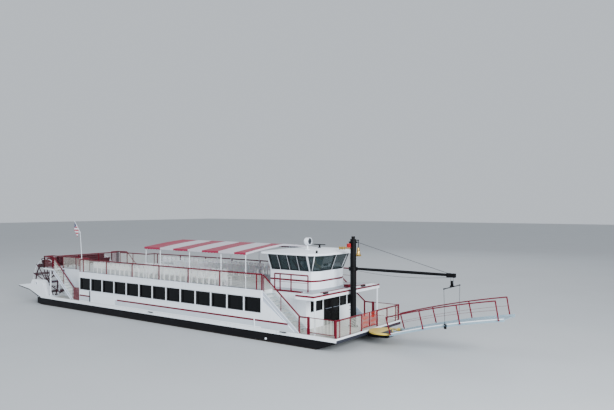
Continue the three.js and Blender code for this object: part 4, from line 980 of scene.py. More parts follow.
class MakeRailings(bpy.types.Operator):
    """Railings of the upper deck, the balcony and the bow, with their wire panels"""

    bl_idname = "boat.railings"
    bl_label = "Railings"

    def execute(self, context):
        for word, side in SIDES.items():
            first, last = SIDE_POSTS[[0, -1]]
            corners = place([first, last, last, WELL_AFT],
                            side * np.array([RAIL_LINE, RAIL_LINE, WELL_GUARD, WELL_GUARD]), UPPER_DECK)
            runs = list(zip(corners[:-1], corners[1:], (shares_of(SIDE_POSTS), [1], [0, 0.5, 1])))
            self.railing(f"side_railing_{word}", runs, f"upper_rail_{word}", f"side_railing_wire_{word}")
            ends = place(BALCONY[[0, -1]], side * BALCONY_LINE, UPPER_DECK)
            balcony = rail_run(*ends, shares_of(BALCONY), middle=True)
            add_piece(f"balcony_railing_{word}", [balcony], "red", [f"balcony_rail_{word}"], bevel=4)
            corner, end = place(BOW_AFT, side * np.array([BOW_LINE, 1000]), DECK)
            thick = [bars(corner, corner + up(RAIL_HEIGHT + 15), CORNER_POST)]
            self.railing(f"bow_railing_{word}", [(corner, end, [0.14, 0.55, 1])], f"bow_rail_{word}",
                         f"bow_railing_wire_{word}", thick, bevel=6)
        path = np.concatenate([STERN_PATH, (STERN_PATH * [1, -1])[::-1]])
        corners = place(path[:, 0], path[:, 1], UPPER_DECK)
        # The run across the stern is the fourth, and has two posts between its corners
        shares = [[0, 0.33, 0.67, 1] if i == 3 else [0, 1] for i in range(7)]
        self.railing("stern_railing", list(zip(corners[:-1], corners[1:], shares)), "upper_rail_stern",
                     "stern_railing_wire", finish="brown")
        return {"FINISHED"}

    def railing(self, name, runs, node, wire_name, more=(), finish="wire", bevel=4):
        """Tubes and posts of several runs as one piece, and their wire panels as another."""
        add_piece(name, [rail_run(*run) for run in runs] + [*more], "red", [node], bevel=bevel)
        add_piece(wire_name, [panel_run(*run[:2]) for run in runs], finish, slot="rail_red")


# Stairs

STEPS = 11
HANDRAIL = 1020
CHANNEL = 410
# The bow stairs' outer boards reach down to the plate that closes the space below them
BOW_CHANNEL = 760
# Name, foot station, top station, distances of the outer and inner stringer from the centreline
STAIRS = [("bow", 2700, 5700, 3890, 2910), ("stern", 26500, 29500, 3890, 3070)]


def stringer(foot, top, across, thick, depth):
    """One side plate of a stair: a slanted board from the deck to the upper deck's edge."""
    run = top - foot
    aft = [foot, foot + np.sign(run) * depth, top, top]
    height = [DECK, DECK, UPPER_DECK - (UPPER_DECK - DECK) * depth / abs(run), UPPER_DECK]
    return facing_out(capped(np.stack([place(aft, across, height), place(aft, across + thick, height)])))


class MakeStairs(bpy.types.Operator):
    """Four stairs between the decks"""

    bl_idname = "boat.stairs"
    bl_label = "Stairs"

    def execute(self, context):
        for word, side in SIDES.items():
            for kind, foot, top, outer, inner in STAIRS:
                edge = top - np.sign(top - foot) * 2
                self.stair(f"{kind}_{word}", side, foot, edge, side * outer, side * inner)
        return {"FINISHED"}

    def stair(self, name, side, foot, top, outer, inner):
        """Channels with flanges, treads with rounded noses, and the handrail with its wire panel."""
        at_bow = name.startswith("bow")
        rise, run = UPPER_DECK - DECK, top - foot
        toward = np.sign(run)
        flanges = []
        for shift in (26, 392):
            low = place(foot + toward * (shift + 12), outer + side * 8, DECK + 9)
            high = place(top - toward * 4, outer + side * 8, UPPER_DECK - (shift + 8) * rise / abs(run))
            flanges.append(bars(low, high, 36, 30))
        add_piece(f"stair_{name}_flanges", flanges, "white")
        plates = [stringer(foot, top, outer, -side * 40, BOW_CHANNEL if at_bow else CHANNEL),
                  stringer(foot, top, inner, side * 40, CHANNEL)]
        # The stair boards carry pale grey painted shade on their webs
        add_piece(f"stair_{name}_boards", plates, "channel_shade", [f"stair_{name}"], bevel=5)
        share = np.arange(1, STEPS) / STEPS
        noses, aft = DECK + rise * share - 25, foot + run * share
        left, right = outer - side * 42, inner + side * 42
        treads = boxes(place(aft, left, noses - 34), place(aft + toward * 255, right, noses))
        lips = rods(place(aft, left - side * 2, noses - 12), place(aft, right + side * 2, noses - 12), 18, 8)
        add_piece(f"stair_{name}_treads", [treads, lips], "stage")
        ends = np.array([foot + toward * 40, top - toward * 30])
        low, high = place(ends, outer - side * 20, DECK + (ends - foot) * rise / run)
        feet = along_line(low, high, [0.02, 0.5, 0.98])
        rails = [rods(low + up(HANDRAIL), high + up(HANDRAIL), RAIL_TUBE, 12),
                 bars(feet - up(60), feet + up(HANDRAIL), 42)]
        if at_bow:
            start, end = place([foot + 40, 2080], side * BOW_LINE, DECK)
            rails += [rods(start + up(TOP_RAIL), end + up(TOP_RAIL), RAIL_TUBE, 12),
                      bars(start, start + up(RAIL_HEIGHT - 30), POST),
                      bars(end, end + up(RAIL_HEIGHT + 15), CORNER_POST)]
            add_piece(f"stair_{name}_low_wire", [panel_run(start, end)], "wire")
        add_piece(f"stair_{name}_rail", rails, "red", bevel=5)
        add_piece(f"stair_{name}_wire", [wire_panel(low + up(60), high + up(60), HANDRAIL - 130)], "wire")


# Gates and doors

GATE_LIFT = 150
STERN_GATE_LIFT = 60


def gate_frame(hinge, end, low, high=RAIL_HEIGHT):
    """A tube on the hinge side, a stile on the other and two rails."""
    levels = np.stack([up(low), up(high - 28)])
    stile = hinge + (end - hinge) * 0.985
    return joined([rods(hinge + up(0.8), hinge + up(high), 30, 14), bars(hinge + levels, end + levels, 42),
                   bars(stile + levels[0], stile + levels[1], 38)])


class MakeGates(bpy.types.Operator):
    """Gates of the foredeck and the stern"""

    bl_idname = "boat.gates"
    bl_label = "Gates"

    def execute(self, context):
        for word, side in SIDES.items():
            self.side_gate(word, side)
            self.bow_gate(word, side)
            self.stern_gate(word, side)
        return {"FINISHED"}

    def side_gate(self, word, side):
        """A frame with upright pickets."""
        hinge, end = place([1980, 135], side * BOW_LINE, DECK)
        leaf = f"side_leaf_{word}"
        frame = [gate_frame(hinge, end, GATE_LIFT)]
        add_piece(f"side_gate_frame_{word}", frame, "red", [f"side_gate_{word}"], leaf, bevel=4)
        feet = along_line(hinge, end, np.linspace(0.06, 0.94, 17)) + up(GATE_LIFT + 10)
        pickets = [bars(feet, feet + up(RAIL_HEIGHT - GATE_LIFT - 60), 18)]
        add_piece(f"side_gate_pickets_{word}", pickets, "wire", body=leaf, slot="white_paint")

    def bow_gate(self, word, side):
        """Lattice between the frame's rails: slats lean both ways at equal spacing."""
        hinge, end = place(BOW_AFT, side * np.array([930, 15]), DECK)
        leaf = f"bow_leaf_{word}"
        frame = [gate_frame(hinge, end, GATE_LIFT)]
        add_piece(f"bow_gate_frame_{word}", frame, "red", [f"bow_gate_{word}"], leaf, bevel=4)
        shares = np.linspace(0.05, 0.7, 5)
        near, far = along_line(hinge, end, shares), along_line(hinge, end, shares + 0.25)
        low, high = up(GATE_LIFT + 20), up(RAIL_HEIGHT - 50)
        slats = [bars(near + low, far + high, 12, 30), bars(far + low, near + high, 12, 30)]
        add_piece(f"bow_gate_lattice_{word}", slats, "orange", body=leaf)

    def stern_gate(self, word, side):
        """A frame with a close wire panel."""
        hinge, end = place([25660, 26420], side * RAIL_LINE, DECK)
        leaf = f"stern_leaf_{word}"
        frame = [gate_frame(hinge, end, STERN_GATE_LIFT)]
        add_piece(f"stern_gate_frame_{word}", frame, "brown", [f"stern_gate_{word}"], leaf, bevel=4)
        panel = wire_panel(hinge + up(80), end + up(80), RAIL_HEIGHT - 140, 50, 16)
        add_piece(f"stern_gate_wire_{word}", [panel], "brown", body=leaf)


# Doors: widths of stile, rails and kick panel, and thickness
STILE, BOTTOM_RAIL, KICK, LEAF = 90, 150, 700, 45
PILOT_DOOR_WALL = 6740


def door_leaf(x, hinge_y, end_y, floor, head):
    """A framed leaf: two stiles, three rails, and a raised panel below the pane. Returns leaf and pane."""
    low, stile = floor + 15, np.sign(end_y - hinge_y) * STILE
    half = np.array([LEAF / 2, 0, 0])
    a, b = hinge_y + stile, end_y - stile
    stiles = boxes([[x, hinge_y, low] - half, [x, b, low] - half],
                   [[x, a, head] + half, [x, end_y, head] + half])
    rails = boxes([[x, a, low] - half, [x, a, head - STILE] - half, [x, a, low + KICK - STILE] - half],
                  [[x, b, low + BOTTOM_RAIL] + half, [x, b, head] + half, [x, b, low + KICK] + half])
    panel = boxes([x - LEAF * 0.3, a, low + BOTTOM_RAIL], [x + LEAF * 0.3, b, low + KICK - STILE])
    tube = rods([x, hinge_y, floor + 0.8], [x, hinge_y, head], 21, 14)
    pane = boxes([x - 6, a, low + KICK], [x + 6, b, head - STILE])
    return [stiles, rails, panel, tube], [pane]


class MakeDoors(bpy.types.Operator):
    """Forward double doors and the pilot-house door"""

    bl_idname = "boat.doors"
    bl_label = "Doors"

    def execute(self, context):
        x = BOW - FRONT_WALL + 40
        for word, side in SIDES.items():
            body = f"front_leaf_{word}"
            leaf, pane = door_leaf(x, side * 890, side * 8, DECK, WATER + 3000)
            add_piece(f"front_door_leaf_{word}", leaf, "black", [f"front_door_{word}"], body,
                      slot="dark_glass", bevel=4)
            add_piece(f"front_door_pane_{word}", pane, "window", body=body)
            add_piece(f"front_door_bar_{word}", self.push_bar(x + 22, side, DECK + 1100), "grey", body=body)
        x = BOW - PILOT_DOOR_WALL
        leaf, pane = door_leaf(x, -450, 450, UPPER_DECK, UPPER_DECK + 1970)
        add_piece("pilot_door_leaf", leaf, "white", ["pilot_door"], "pilot_leaf", bevel=4)
        add_piece("pilot_door_pane", pane, "pilot window", body="pilot_leaf")
        add_piece("pilot_door_pull", self.pull(x - 22, 390, UPPER_DECK + 1000), "brass", body="pilot_leaf")
        return {"FINISHED"}

    def push_bar(self, x, side, z):
        """A level bar on two feet, standing off the leaf."""
        ends = points_of(x + 46, side * np.array([800, 110]), z)
        feet = ends - [[0, side * 40, 0], [0, -side * 40, 0]]
        return [rods(ends[0], ends[1], 17, 12), bars(feet - [47, 0, 0], feet, 26)]

    def pull(self, x, y, z):
        """A handle bowed aft on two feet, standing off the leaf."""
        angle = np.linspace(0, np.pi, 9)
        path = points_of(x - 34 * np.sin(angle), y, z - 90 * np.cos(angle))
        return [sweep(circle(9, 8), path, upright=ACROSS)]


# Pilot house

PILOT_SILL = WATER + 4650
PILOT_HEAD = WATER + 5730
PILOT_STRIPE_Z = WATER + 4030
PILOT_STRIPE = oblong(6, 56)
SILL_LEDGE = oblong(22, 16)
PILOT_BOARD_Z = (WATER + 4110, WATER + 4580)
ROOF_EDGE = (PILOT_HEAD, WATER + 5850)
ROOF_TOP = WATER + 6020
EAVE, ROOF_FALL = 250, 650
ROOF_RINGS = 8
LEAN = 440
# Station and distance from the centreline at the sill, then the lean forward and outward at the head
PILOT_CORNERS = np.array([[3000, 1250, LEAN, 100], [3285, 1850, 400, 200], [3330, 1880, 30, LEAN],
                          [6700, 1880, 0, LEAN]], float)
PANE_MARGIN = 35
# Panes of the starboard half: the wall's edge in the outline, and the shares of it where the pane begins
# and ends. The side wall holds four of one width
SIDE_PANES = [(1, (0.12, 0.88))]
SIDE_PANES += [(2, (0.03 + 0.235 * i + 0.012, 0.03 + 0.235 * (i + 1) - 0.012)) for i in range(4)]
# Half the post between the two front panes, and the front pane's end, as shares of the front facets
FRONT_PANE_GAP, FRONT_PANE_END = 0.0175, 0.93
SEARCHLIGHT = (BOW - 4200, -1050, ROOF_TOP + 560)
RADAR = (BOW - 4600, 900, ROOF_TOP + 230)
RADAR_HALF = 498
# Turned profiles of radius and height, and the radar bar's section across and up
DRUM = [(0, -205), (110, -200), (190, -170), (232, -110), (238, -60), (238, 180), (248, 182), (248, 208),
        (226, 210), (226, 185), (0, 182)]
DRUM_FOOT = [(0, 1), (150, 1), (150, 30), (120, 48), (58, 60), (55, 250), (0, 250)]
LENS = [(0, 182.5), (225, 182.5), (200, 194), (120, 202), (0, 205)]
STOOL = [(0, 0), (190, 0), (190, 25), (40, 45), (40, 560), (180, 590), (215, 620), (205, 665), (0, 675)]
RADAR_FOOT = [(0, 1), (105, 1), (105, 20), (70, 60), (62, 150), (80, 196), (0, 200)]
SCANNER = [(-44, -30), (-20, -34), (20, -34), (44, -30), (46, 10), (30, 32), (-30, 32), (-46, 10)]
# The steering desk's side: station and height over the deck of each corner
DESK = np.array([[3500, 0], [4050, 0], [4050, 800], [3500, 1050]], float)
DESK_HALF = 900


def pilot_outline(inset, share):
    """Plan outline of the pilot house at a share of its lean, as places without height, counter-clockwise."""
    aft, across, forward, outward = PILOT_CORNERS.T
    x = BOW - aft + forward * share - np.array([1, 1, 1, -1]) * inset
    y = across + outward * share - inset * np.array([0.4, 1, 1, 1])
    half = np.stack([x, y], axis=1)
    return np.concatenate([half * [1, -1], half[::-1]])


def at_height(outline, height):
    return points_of(*np.asarray(outline).T, height)


def on_wall(edge, share, level):
    """A place on the leaning wall: a share of the way along one of the outline's edges, at a share of the
    lean."""
    outline = pilot_outline(0, level)
    near, far = outline[edge], outline[(edge + 1) % len(outline)]
    return at_height(near + (far - near) * share, PILOT_SILL + (PILOT_HEAD - PILOT_SILL) * level)


def roof_surface():
    """Roof: rings that shrink from the eave to the flat top by a quarter sine, closed under the eave."""
    eave, top = pilot_outline(-EAVE, 1), pilot_outline(ROOF_FALL, 1)
    level = np.linspace(0, 1, ROOF_RINGS)
    shrink = level * 0.35 + np.sin(level * np.pi / 2) * 0.65 * level
    rows = [at_height(eave + (top - eave) * share, ROOF_EDGE[1] + (ROOF_TOP - ROOF_EDGE[1]) * high)
            for share, high in zip(shrink, level)]
    middle = np.broadcast_to(top.mean(axis=0), eave.shape)
    under = [at_height(outline, ROOF_EDGE[0]) for outline in (middle, eave)]
    rings = np.stack([*under, *rows, at_height(middle, ROOF_TOP + 4)])
    return facing_out(grid(rings, closed_columns=True))


class MakePilotHouse(bpy.types.Operator):
    """Pilot house with its roof, trims, console, searchlight and radar bar"""

    bl_idname = "boat.pilot_house"
    bl_label = "Pilot house"

    def execute(self, context):
        dress("white", "pilot_house_walls")
        dress("pilot window", "pilot_house_glass")
        add_piece("pilot_roof", [roof_surface()], "white", ["pilot_house_roof"], bevel=8, smooth=30)
        self.trims()
        self.gaskets()
        self.console()
        self.searchlight()
        self.radar()
        return {"FINISHED"}

    def trims(self):
        """A red stripe round the front and sides, a pale sill ledge and the blank board under the windows."""
        corners = pilot_outline(-3, 0)
        order = np.concatenate([corners[3::-1], corners[:3:-1]])
        stripe = sweep(PILOT_STRIPE, densely(at_height(order, PILOT_STRIPE_Z)))
        add_piece("pilot_stripe", [stripe], "red")
        ledge = sweep(SILL_LEDGE, densely(at_height(order, PILOT_SILL - 18)))
        add_piece("pilot_sill_ledge", [ledge], "white", bevel=5)
        board = boxes(place(3000, -1150, PILOT_BOARD_Z[0]), place(2985, 1150, PILOT_BOARD_Z[1]))
        add_piece("pilot_blank_board", [board], "white", bevel=5)
        stub = boxes(place(2800, -2090, ROOF_EDGE[1] - 30), place(2700, -1970, ROOF_EDGE[1] + 220))
        add_piece("roof_sensor", [stub], "black", bevel=12)

    def gaskets(self):
        """Rubber round the panes. The wide front panes run on round the corner to the next facet."""
        height = PILOT_HEAD - PILOT_SILL
        levels = (PANE_MARGIN / height, (height - PANE_MARGIN) / height)
        made = []
        for edge, shares in SIDE_PANES:
            low, high = [[on_wall(edge, share, level) for share in shares] for level in levels]
            made += self.mirrored_gasket(low + high[::-1])
        low, high = [[on_wall(-1, 0.5 + FRONT_PANE_GAP, level), on_wall(0, 0, level),
                      on_wall(0, FRONT_PANE_END, level)] for level in levels]
        made += self.mirrored_gasket(low + high[::-1])
        add_piece("pilot_window_gaskets", made, "gasket")

    def mirrored_gasket(self, corners):
        """A gasket on the starboard side and its mirror image. A side's outward direction is its facet's."""
        corners = np.array(corners)
        half = len(corners) // 2
        across, rise = np.diff(corners[:half], axis=0), corners[::-1][:half] - corners[:half]
        facets = np.cross((rise[1:] + rise[:-1]) / 2, across)
        facets /= np.linalg.norm(facets, axis=1, keepdims=True)
        outward = np.concatenate([facets, facets[-1:], facets[::-1], facets[:1]])
        return [lining(corners * way, outward * way, 60, 10, 8, 20) for way in ([1, 1, 1], [1, -1, 1])]

    def console(self):
        """A desk under the front windows with a sloped top and two steering levers, and the pilot's stool."""
        faces = [place(DESK[:, 0], side * DESK_HALF, UPPER_DECK + DESK[:, 1]) for side in SIDES.values()]
        add_piece("pilot_console", [facing_out(capped(np.stack(faces)))], "grey", bevel=10)
        across = np.array([-220, 220])
        levers = rods(place(3820, across, UPPER_DECK + 880), place(4130, across, UPPER_DECK + 1180), 14)
        stool = lathe(STOOL, place(4600, 0, UPPER_DECK))
        add_piece("steering_levers", [levers, stool], "black")

    def searchlight(self):
        """A drum with a rounded back, a lens ring, a yoke and a round foot."""
        x, y, z = SEARCHLIGHT
        angle = np.linspace(-1.25, 1.25, 15) - np.pi / 2
        yoke = points_of(x, y + 268 * np.cos(angle), z + 285 * np.sin(angle))
        shell = [lathe(DRUM, SEARCHLIGHT, FORE_AND_AFT, 32), lathe(DRUM_FOOT, [x, y, ROOF_TOP]),
                 sweep(oblong(12, 28), yoke, upright=FORE_AND_AFT),
                 *[rods([x, y + near, z], [x, y + near + 50, z], 34, 14) for near in (-275, 225)]]
        add_piece("searchlight_drum", shell, "white", ["searchlight"])
        add_piece("searchlight_lens", [lathe(LENS, SEARCHLIGHT, FORE_AND_AFT, 32)], "lens")

    def radar(self):
        """A scanner bar on a pedestal. The bar shrinks toward its ends by the eighth power of the way out."""
        x, y, z = RADAR
        share = np.linspace(-1, 1, 13)
        section = np.array(SCANNER, float)[None] * (1 - np.abs(share) ** 8 * 0.35)[:, None, None]
        bar = capped(points_of(x + share[:, None] * RADAR_HALF, y + section[..., 0], z + section[..., 1]))
        add_piece("radar_scanner", [bar, lathe(RADAR_FOOT, [x, y, ROOF_TOP])], "black", ["radar_bar"])


# Mast and boom

MAST_X = BOW - 1280
MAST_BANDS = (DECK + 900, DECK + 2600, WATER + 5500)
MAST_CLEATS = (DECK + 1100, DECK + 1350)
LAMP = (MAST_X - 120, -350, WATER + 6230)
HORN_Z = WATER + 6150
# Distance across and length of each trumpet
HORNS = [(-190, 425), (0, 360), (190, 300)]
BELL = (MAST_X, 640, WATER + 6180)
BOOM_Z = WATER + 4850
RING_Z = WATER + 6580
BOOM_TIP = BOW + 5550
BOOM_RADIUS = 95
COLLAR_BORE, COLLAR_RADIUS = 216, 300
LAMP_GLASS = [(0, 0), (148, 0), (148, 24), (138, 30), (138, 210), (148, 216), (148, 244), (80, 276), (0, 282)]
CLAPPER = [(0, -540), (34, -520), (44, -485), (30, -450), (10, -430), (9, -70), (0, -70)]
BOOM_SHEAVE = [(0, -26), (96, -26), (100, -20), (84, -8), (84, 8), (100, 20), (96, 26), (0, 26)]
HOOK_SHEAVE = [(0, -26), (84, -26), (88, -20), (74, -8), (74, 8), (88, 20), (84, 26), (0, 26)]
HOOK_Z = WATER + 4251


class MakeMast(bpy.types.Operator):
    """Mast with its lamp, horns and bell"""

    bl_idname = "boat.mast"
    bl_label = "Mast"

    def execute(self, context):
        dress("black", "mast")
        angle = np.arange(8) * np.pi / 4 + 0.2
        feet = points_of(MAST_X + np.cos(angle) * 280, np.sin(angle) * 280, DECK + 58)
        fittings = [rods(feet, feet + up(34), 20, 6)]
        fittings += [rods([MAST_X - 205, -150, z], [MAST_X - 205, 150, z], 18) for z in MAST_CLEATS]
        fittings += [lathe(collar(198, 212, 20)[:-1], [MAST_X, 0, z]) for z in MAST_BANDS]
        add_piece("mast_fittings", fittings, "black")
        x, y, z = LAMP
        bracket = bars([MAST_X - 60, -150, z + 12], [x, y, z + 12], 60, 20)
        add_piece("mast_lamp", [lathe(LAMP_GLASS, LAMP), bracket], "lamp")
        self.horns()
        self.bell()
        return {"FINISHED"}

    def horns(self):
        """Three flared trumpets of different length on a cross bar, mouths aft. Radius grows from 20 to 115
        by the power 3.2 of the share of the length."""
        start = MAST_X - 200.6
        cross, z = start - 300, HORN_Z
        shapes = [boxes([start, -30, z - 25], [cross - 30, 30, z + 25]),
                  rods([cross, -215, z], [cross, 215, z], 28, 14)]
        share = np.linspace(0, 1, 12)
        for across, reach in HORNS:
            outer = np.stack([20 + 95 * share ** 3.2, -40 + (reach + 40) * share], axis=1)
            inner = outer[::-1] - [6, 0]
            inner[-1] = (0, inner[-1, 1] + 60)
            profile = np.concatenate([[(0, -40)], outer, inner])
            shapes.append(lathe(profile, [cross, across, z], (-1, 0, 0), 20))
        add_piece("horn_trumpets", shapes, "brass", ["horn_cluster"])

    def bell(self):
        """A turned bell with a clapper inside. Its radius grows from crown to lip as 85 + 30 t + 100 t^4."""
        t = np.linspace(0, 1, 16)
        radius = 85 + 30 * t + 100 * t ** 4
        outer = np.stack([radius, -40 - 520 * t], axis=1)
        inner = np.stack([radius - 22 + 2 * t, -66 - 504 * t], axis=1)
        profile = np.concatenate([[(0, -66)], inner[:1] * [0.9, 1], inner, outer[::-1], [(60, -12), (0, 0)]])
        shapes = [lathe(profile, BELL, sides=32), lathe(CLAPPER, BELL, sides=14)]
        add_piece("bell_turned", shapes, "brass", ["bell"])


class MakeBoom(bpy.types.Operator):
    """Boom with its topping lift, the hook block and its falls"""

    bl_idname = "boat.boom"
    bl_label = "Boom"

    def execute(self, context):
        tip, z = BOOM_TIP, BOOM_Z
        shapes = [lathe(collar(COLLAR_BORE, COLLAR_RADIUS, half), [MAST_X, 0, level], sides=32)
                  for half, level in ((100, z), (30, RING_Z))]
        # The spar's radius swells by a half sine, from 0.86 of the full one at its ends
        share = np.linspace(0, 1, 14)[:, None]
        start, end = MAST_X + COLLAR_RADIUS - 30, tip - 220
        girth = BOOM_RADIUS * (0.86 + 0.14 * np.sin(np.pi * share))
        cosine, sine = circle(1, 18).T
        shapes.append(capped(points_of(start + (end - start) * share, girth * cosine, z + girth * sine)))
        for side in SIDES.values():
            shapes.append(boxes([tip - 330, side * 60, z - 138], [tip + 218, side * 94, z + 108]))
            shapes.append(rods([tip, side * 92, z + 20], [tip, side * 108, z + 20], 46, 16))
        shapes.append(boxes([tip - 330, -62, z - 60], [tip - 220, 62, z + 98]))
        shapes.append(rods([tip + 170, -62, z], [tip + 170, 62, z], 34, 12))
        add_piece("boom_spar", shapes, "black", ["boom"], "boom_arm", bevel=5)
        sheave = lathe(BOOM_SHEAVE, [tip, 0, z + 20], ACROSS, 28)
        add_piece("boom_sheave", [sheave], "grey", body="boom_arm", slot="mast_black")
        self.ropes()
        self.hook()
        return {"FINISHED"}

    def ropes(self):
        """The topping lift, and the hauling line that hangs below the spar as a parabola 190 mm deep."""
        lift = rods([MAST_X + COLLAR_RADIUS - 25, 0, RING_Z], [BOOM_TIP - 250, 0, BOOM_Z + 96], 13)
        share = np.linspace(0, 1, 24)
        line = points_of(MAST_X + 320 + (BOOM_TIP - MAST_X - 420) * share, -70,
                         BOOM_Z - 105 - 4 * 190 * share * (1 - share) - 30 * share)
        add_piece("boom_ropes", [lift, pipe(line, 9, 8)], "rope", body="boom_arm")

    def hook(self):
        """A block with a sheave over the spreader's lug, and its falls up to the boom's sheave."""
        x, low = BOOM_TIP, HOOK_Z
        shell = [boxes(points_of(x - 78, [-48, 34], low), points_of(x + 78, [-34, 48], low + 270)),
                 boxes([x - 40, -36, low], [x + 40, 36, low + 50]),
                 rods([x, -56, low + 170], [x, 56, low + 170], 20, 12)]
        add_piece("hook_block_shell", shell, "black", ["hook_block"], "hook", bevel=4)
        sheave = lathe(HOOK_SHEAVE, [x, 0, low + 170], ACROSS)
        add_piece("hook_block_sheave", [sheave], "grey", body="hook", slot="mast_black")
        for word, shift in (("forward", 76), ("aft", -76)):
            path = points_of(x + shift, 0, np.linspace(low + 175, BOOM_Z + 20, 16))
            line = sweep(circle(11, 8), path, upright=FORE_AND_AFT)
            rope = add_piece(f"hoist_fall_{word}", [line], "rope", body=None)
            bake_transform(rope)


# Landing stage

FOOT_X = BOW + 1900
STAGE_LENGTH = 7050
STAGE_HALF = 910
STAGE_SLOPE, STAGE_BOW = 0.305, 1e-5
STAGE_POSTS = np.array([60, 2230, 4510, 6740])
BATTENS = np.arange(450, 6950, 325)
BRIDLE_X = BOOM_TIP
SPREADER_Z = WATER + 4160
SPREADER_HALF = 1175
LEG_LINE = 1015
# Upper and lower flange: height over the deck line, and how far the flange reaches down
UPPER_FLANGE, LOWER_FLANGE = (38, -36), (-118, -9)
MAT_ENDS = (FOOT_X - 650, FOOT_X + 420)
MAT_LANDS = 420


def stage_z(along):
    """Height of the stage's deck line: DECK + 10 + 0.305 s - 0.00001 s^2."""
    return DECK + 10 + STAGE_SLOPE * along - STAGE_BOW * along ** 2


BRIDLE_PIN_Z = stage_z(BRIDLE_X - FOOT_X) - 30


def stage_curve(along, across, lift):
    """Places along the stage, lifted square to its slope."""
    along = np.asarray(along, float)
    slope = np.arctan(STAGE_SLOPE - 2 * STAGE_BOW * along)
    return points_of(FOOT_X + along - np.sin(slope) * lift, across, stage_z(along) + np.cos(slope) * lift)


class MakeLandingStage(bpy.types.Operator):
    """Turntable, landing stage, its railings, bridle and ramp mat"""

    bl_idname = "boat.landing_stage"
    bl_label = "Landing stage"

    def execute(self, context):
        dress("yellow", "stage_turntable")
        dress("stage", "gangway_deck")
        self.deck_trim()
        self.railings()
        self.bridle()
        self.mat()
        return {"FINISHED"}

    def deck_trim(self):
        """Foot battens across the deck, stiffening flanges along the beams, and the bridle's lugs."""
        battens = [bars(stage_curve(BATTENS, -840, -10), stage_curve(BATTENS, 840, -10), 40, 22)]
        add_piece("stage_battens", battens, "stage", body="stage")
        steps = np.linspace(70, STAGE_LENGTH - 25, 24)
        for name, finish, (lift, low) in (("upper", "white", UPPER_FLANGE), ("lower", "stage", LOWER_FLANGE)):
            profile = [(-6, low), (14, low), (14, 9), (-6, 9)]
            flanges = [sweep(profile, stage_curve(steps, side * STAGE_HALF, lift)[::side])
                       for side in SIDES.values()]
            add_piece(f"stage_{name}_flanges", flanges, finish, body="stage", slot="stage_grey")
        x, pin = BRIDLE_X, BRIDLE_PIN_Z
        lugs = [boxes([x - 80, side * 930, pin - 200], [x + 80, side * 985, pin + 80])
                for side in SIDES.values()]
        add_piece("stage_lugs", lugs, "black", body="stage", bevel=10)

    def railings(self):
        """Top and middle tubes that follow the deck's curve, posts and their shoes."""
        stops = np.linspace(STAGE_POSTS[0] - 20, STAGE_POSTS[-1] + 20, 26)
        top = RAIL_HEIGHT - 37
        for word, side in SIDES.items():
            y = side * (STAGE_HALF + 26)
            shapes = [pipe(stage_curve(stops, y, top), 38, 12),
                      pipe(stage_curve(stops, y, RAIL_HEIGHT / 2), 9),
                      bars(stage_curve(STAGE_POSTS, y, -60), stage_curve(STAGE_POSTS, y, top), 62),
                      bars(stage_curve(STAGE_POSTS - 48, y, -30), stage_curve(STAGE_POSTS + 48, y, -30), 50)]
            add_piece(f"stage_railing_{word}", shapes, "red", [f"gangway_rail_{word}"], "stage", bevel=4)

    def bridle(self):
        """A spreader tube over a lug, and a wire leg with a shackle to each pin of the stage."""
        x, z, pin, half, leg = BRIDLE_X, SPREADER_Z, BRIDLE_PIN_Z, SPREADER_HALF, LEG_LINE
        shapes = [rods([x, -half, z], [x, half, z], 29, 14), boxes([x - 128, -34, z], [x + 128, 34, z + 89])]
        wires = []
        for side in SIDES.values():
            wires.append(rods([x, side * leg, pin + 45], [x, side * (half - 25), z], 12))
            shapes.append(lathe(collar(24, 49, 14), [x, side * leg, pin], ACROSS, 20))
            shapes.append(rods([x, side * leg, pin + 44], [x, side * (leg + 8), pin + 190], 22, 12))
            shapes.append(lathe(collar(28, 44, 24), [x, side * (half - 40), z], ACROSS, 16))
        add_piece("bridle_spreader", shapes, "black", ["gangway_bridle"], "bridle", bevel=5)
        add_piece("bridle_wires", wires, "rope", body="bridle")

    def mat(self):
        """A rubber apron from the turntable to the stage's deck. Height rises by the power 1.5 of the share
        past the hinge."""
        x = np.linspace(*MAT_ENDS, 16)[:, None]
        across = np.linspace(-800, 800, 9)
        low, high = DECK + 13, stage_z(MAT_LANDS) - 18
        ease = np.clip((x - (FOOT_X - 150)) / 560, 0, 1)
        z = low + (high - low) * ease ** 1.5 * (1.6 - 0.6 * ease)
        top, under = points_of(x.T, across[:, None], z.T + 10), points_of(x.T, across[:, None], z.T + 1)
        sheet = grid(np.concatenate([top, under[:, ::-1]], axis=1), closed_columns=True)
        apron = add_piece("ramp_mat", [sheet], "mat", body=None)
        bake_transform(apron)


# Stern wheel

WHEEL_X = BOW - 32100
WHEEL_Z = WATER + 2050
WHEEL_HALF = 3000
BUCKETS = 14
RING_PLACES = (-2950, 0, 2950)
# Inner and outer radius of each bucket's two boards, and how far their faces stand off the radius line
BOARDS = [(1822, 2030), (2038, 2249)]
BOARD_FACES = (27, 73)
RIM_RADIUS, HOOP_RADIUS = 1750, 2110
RIM, HOOP = oblong(29, 50), oblong(24, 26)
HUB = [(112, -95), (180, -95), (200, -40), (330, -32), (330, 32), (200, 40), (180, 95), (112, 95), (112, -95)]
SHAFT = [(0, -3899), (104, -3899), (109.6, -3890), (109.6, 3890), (104, 3899), (0, 3899)]
CAP = [(114, -16), (250, -16), (262, 0), (250, 16), (114, 16), (114, -16)]
# The beams' lower edge, as station and height
BEAM_FOOT = np.array([[31400, HULL_TOP], [33200, WATER + 1420], [34990, WATER + 1650]], float)


def about_wheel(radius, tangent, angle, across):
    """Places in the wheel: out along the angle by the radius and square to it by the tangent."""
    return points_of(WHEEL_X + np.cos(angle) * radius - np.sin(angle) * tangent, across,
                     WHEEL_Z + np.sin(angle) * radius + np.cos(angle) * tangent)


def turned_about_shaft(profile, across, sides=32):
    return lathe(profile, [WHEEL_X, across, WHEEL_Z], ACROSS, sides)


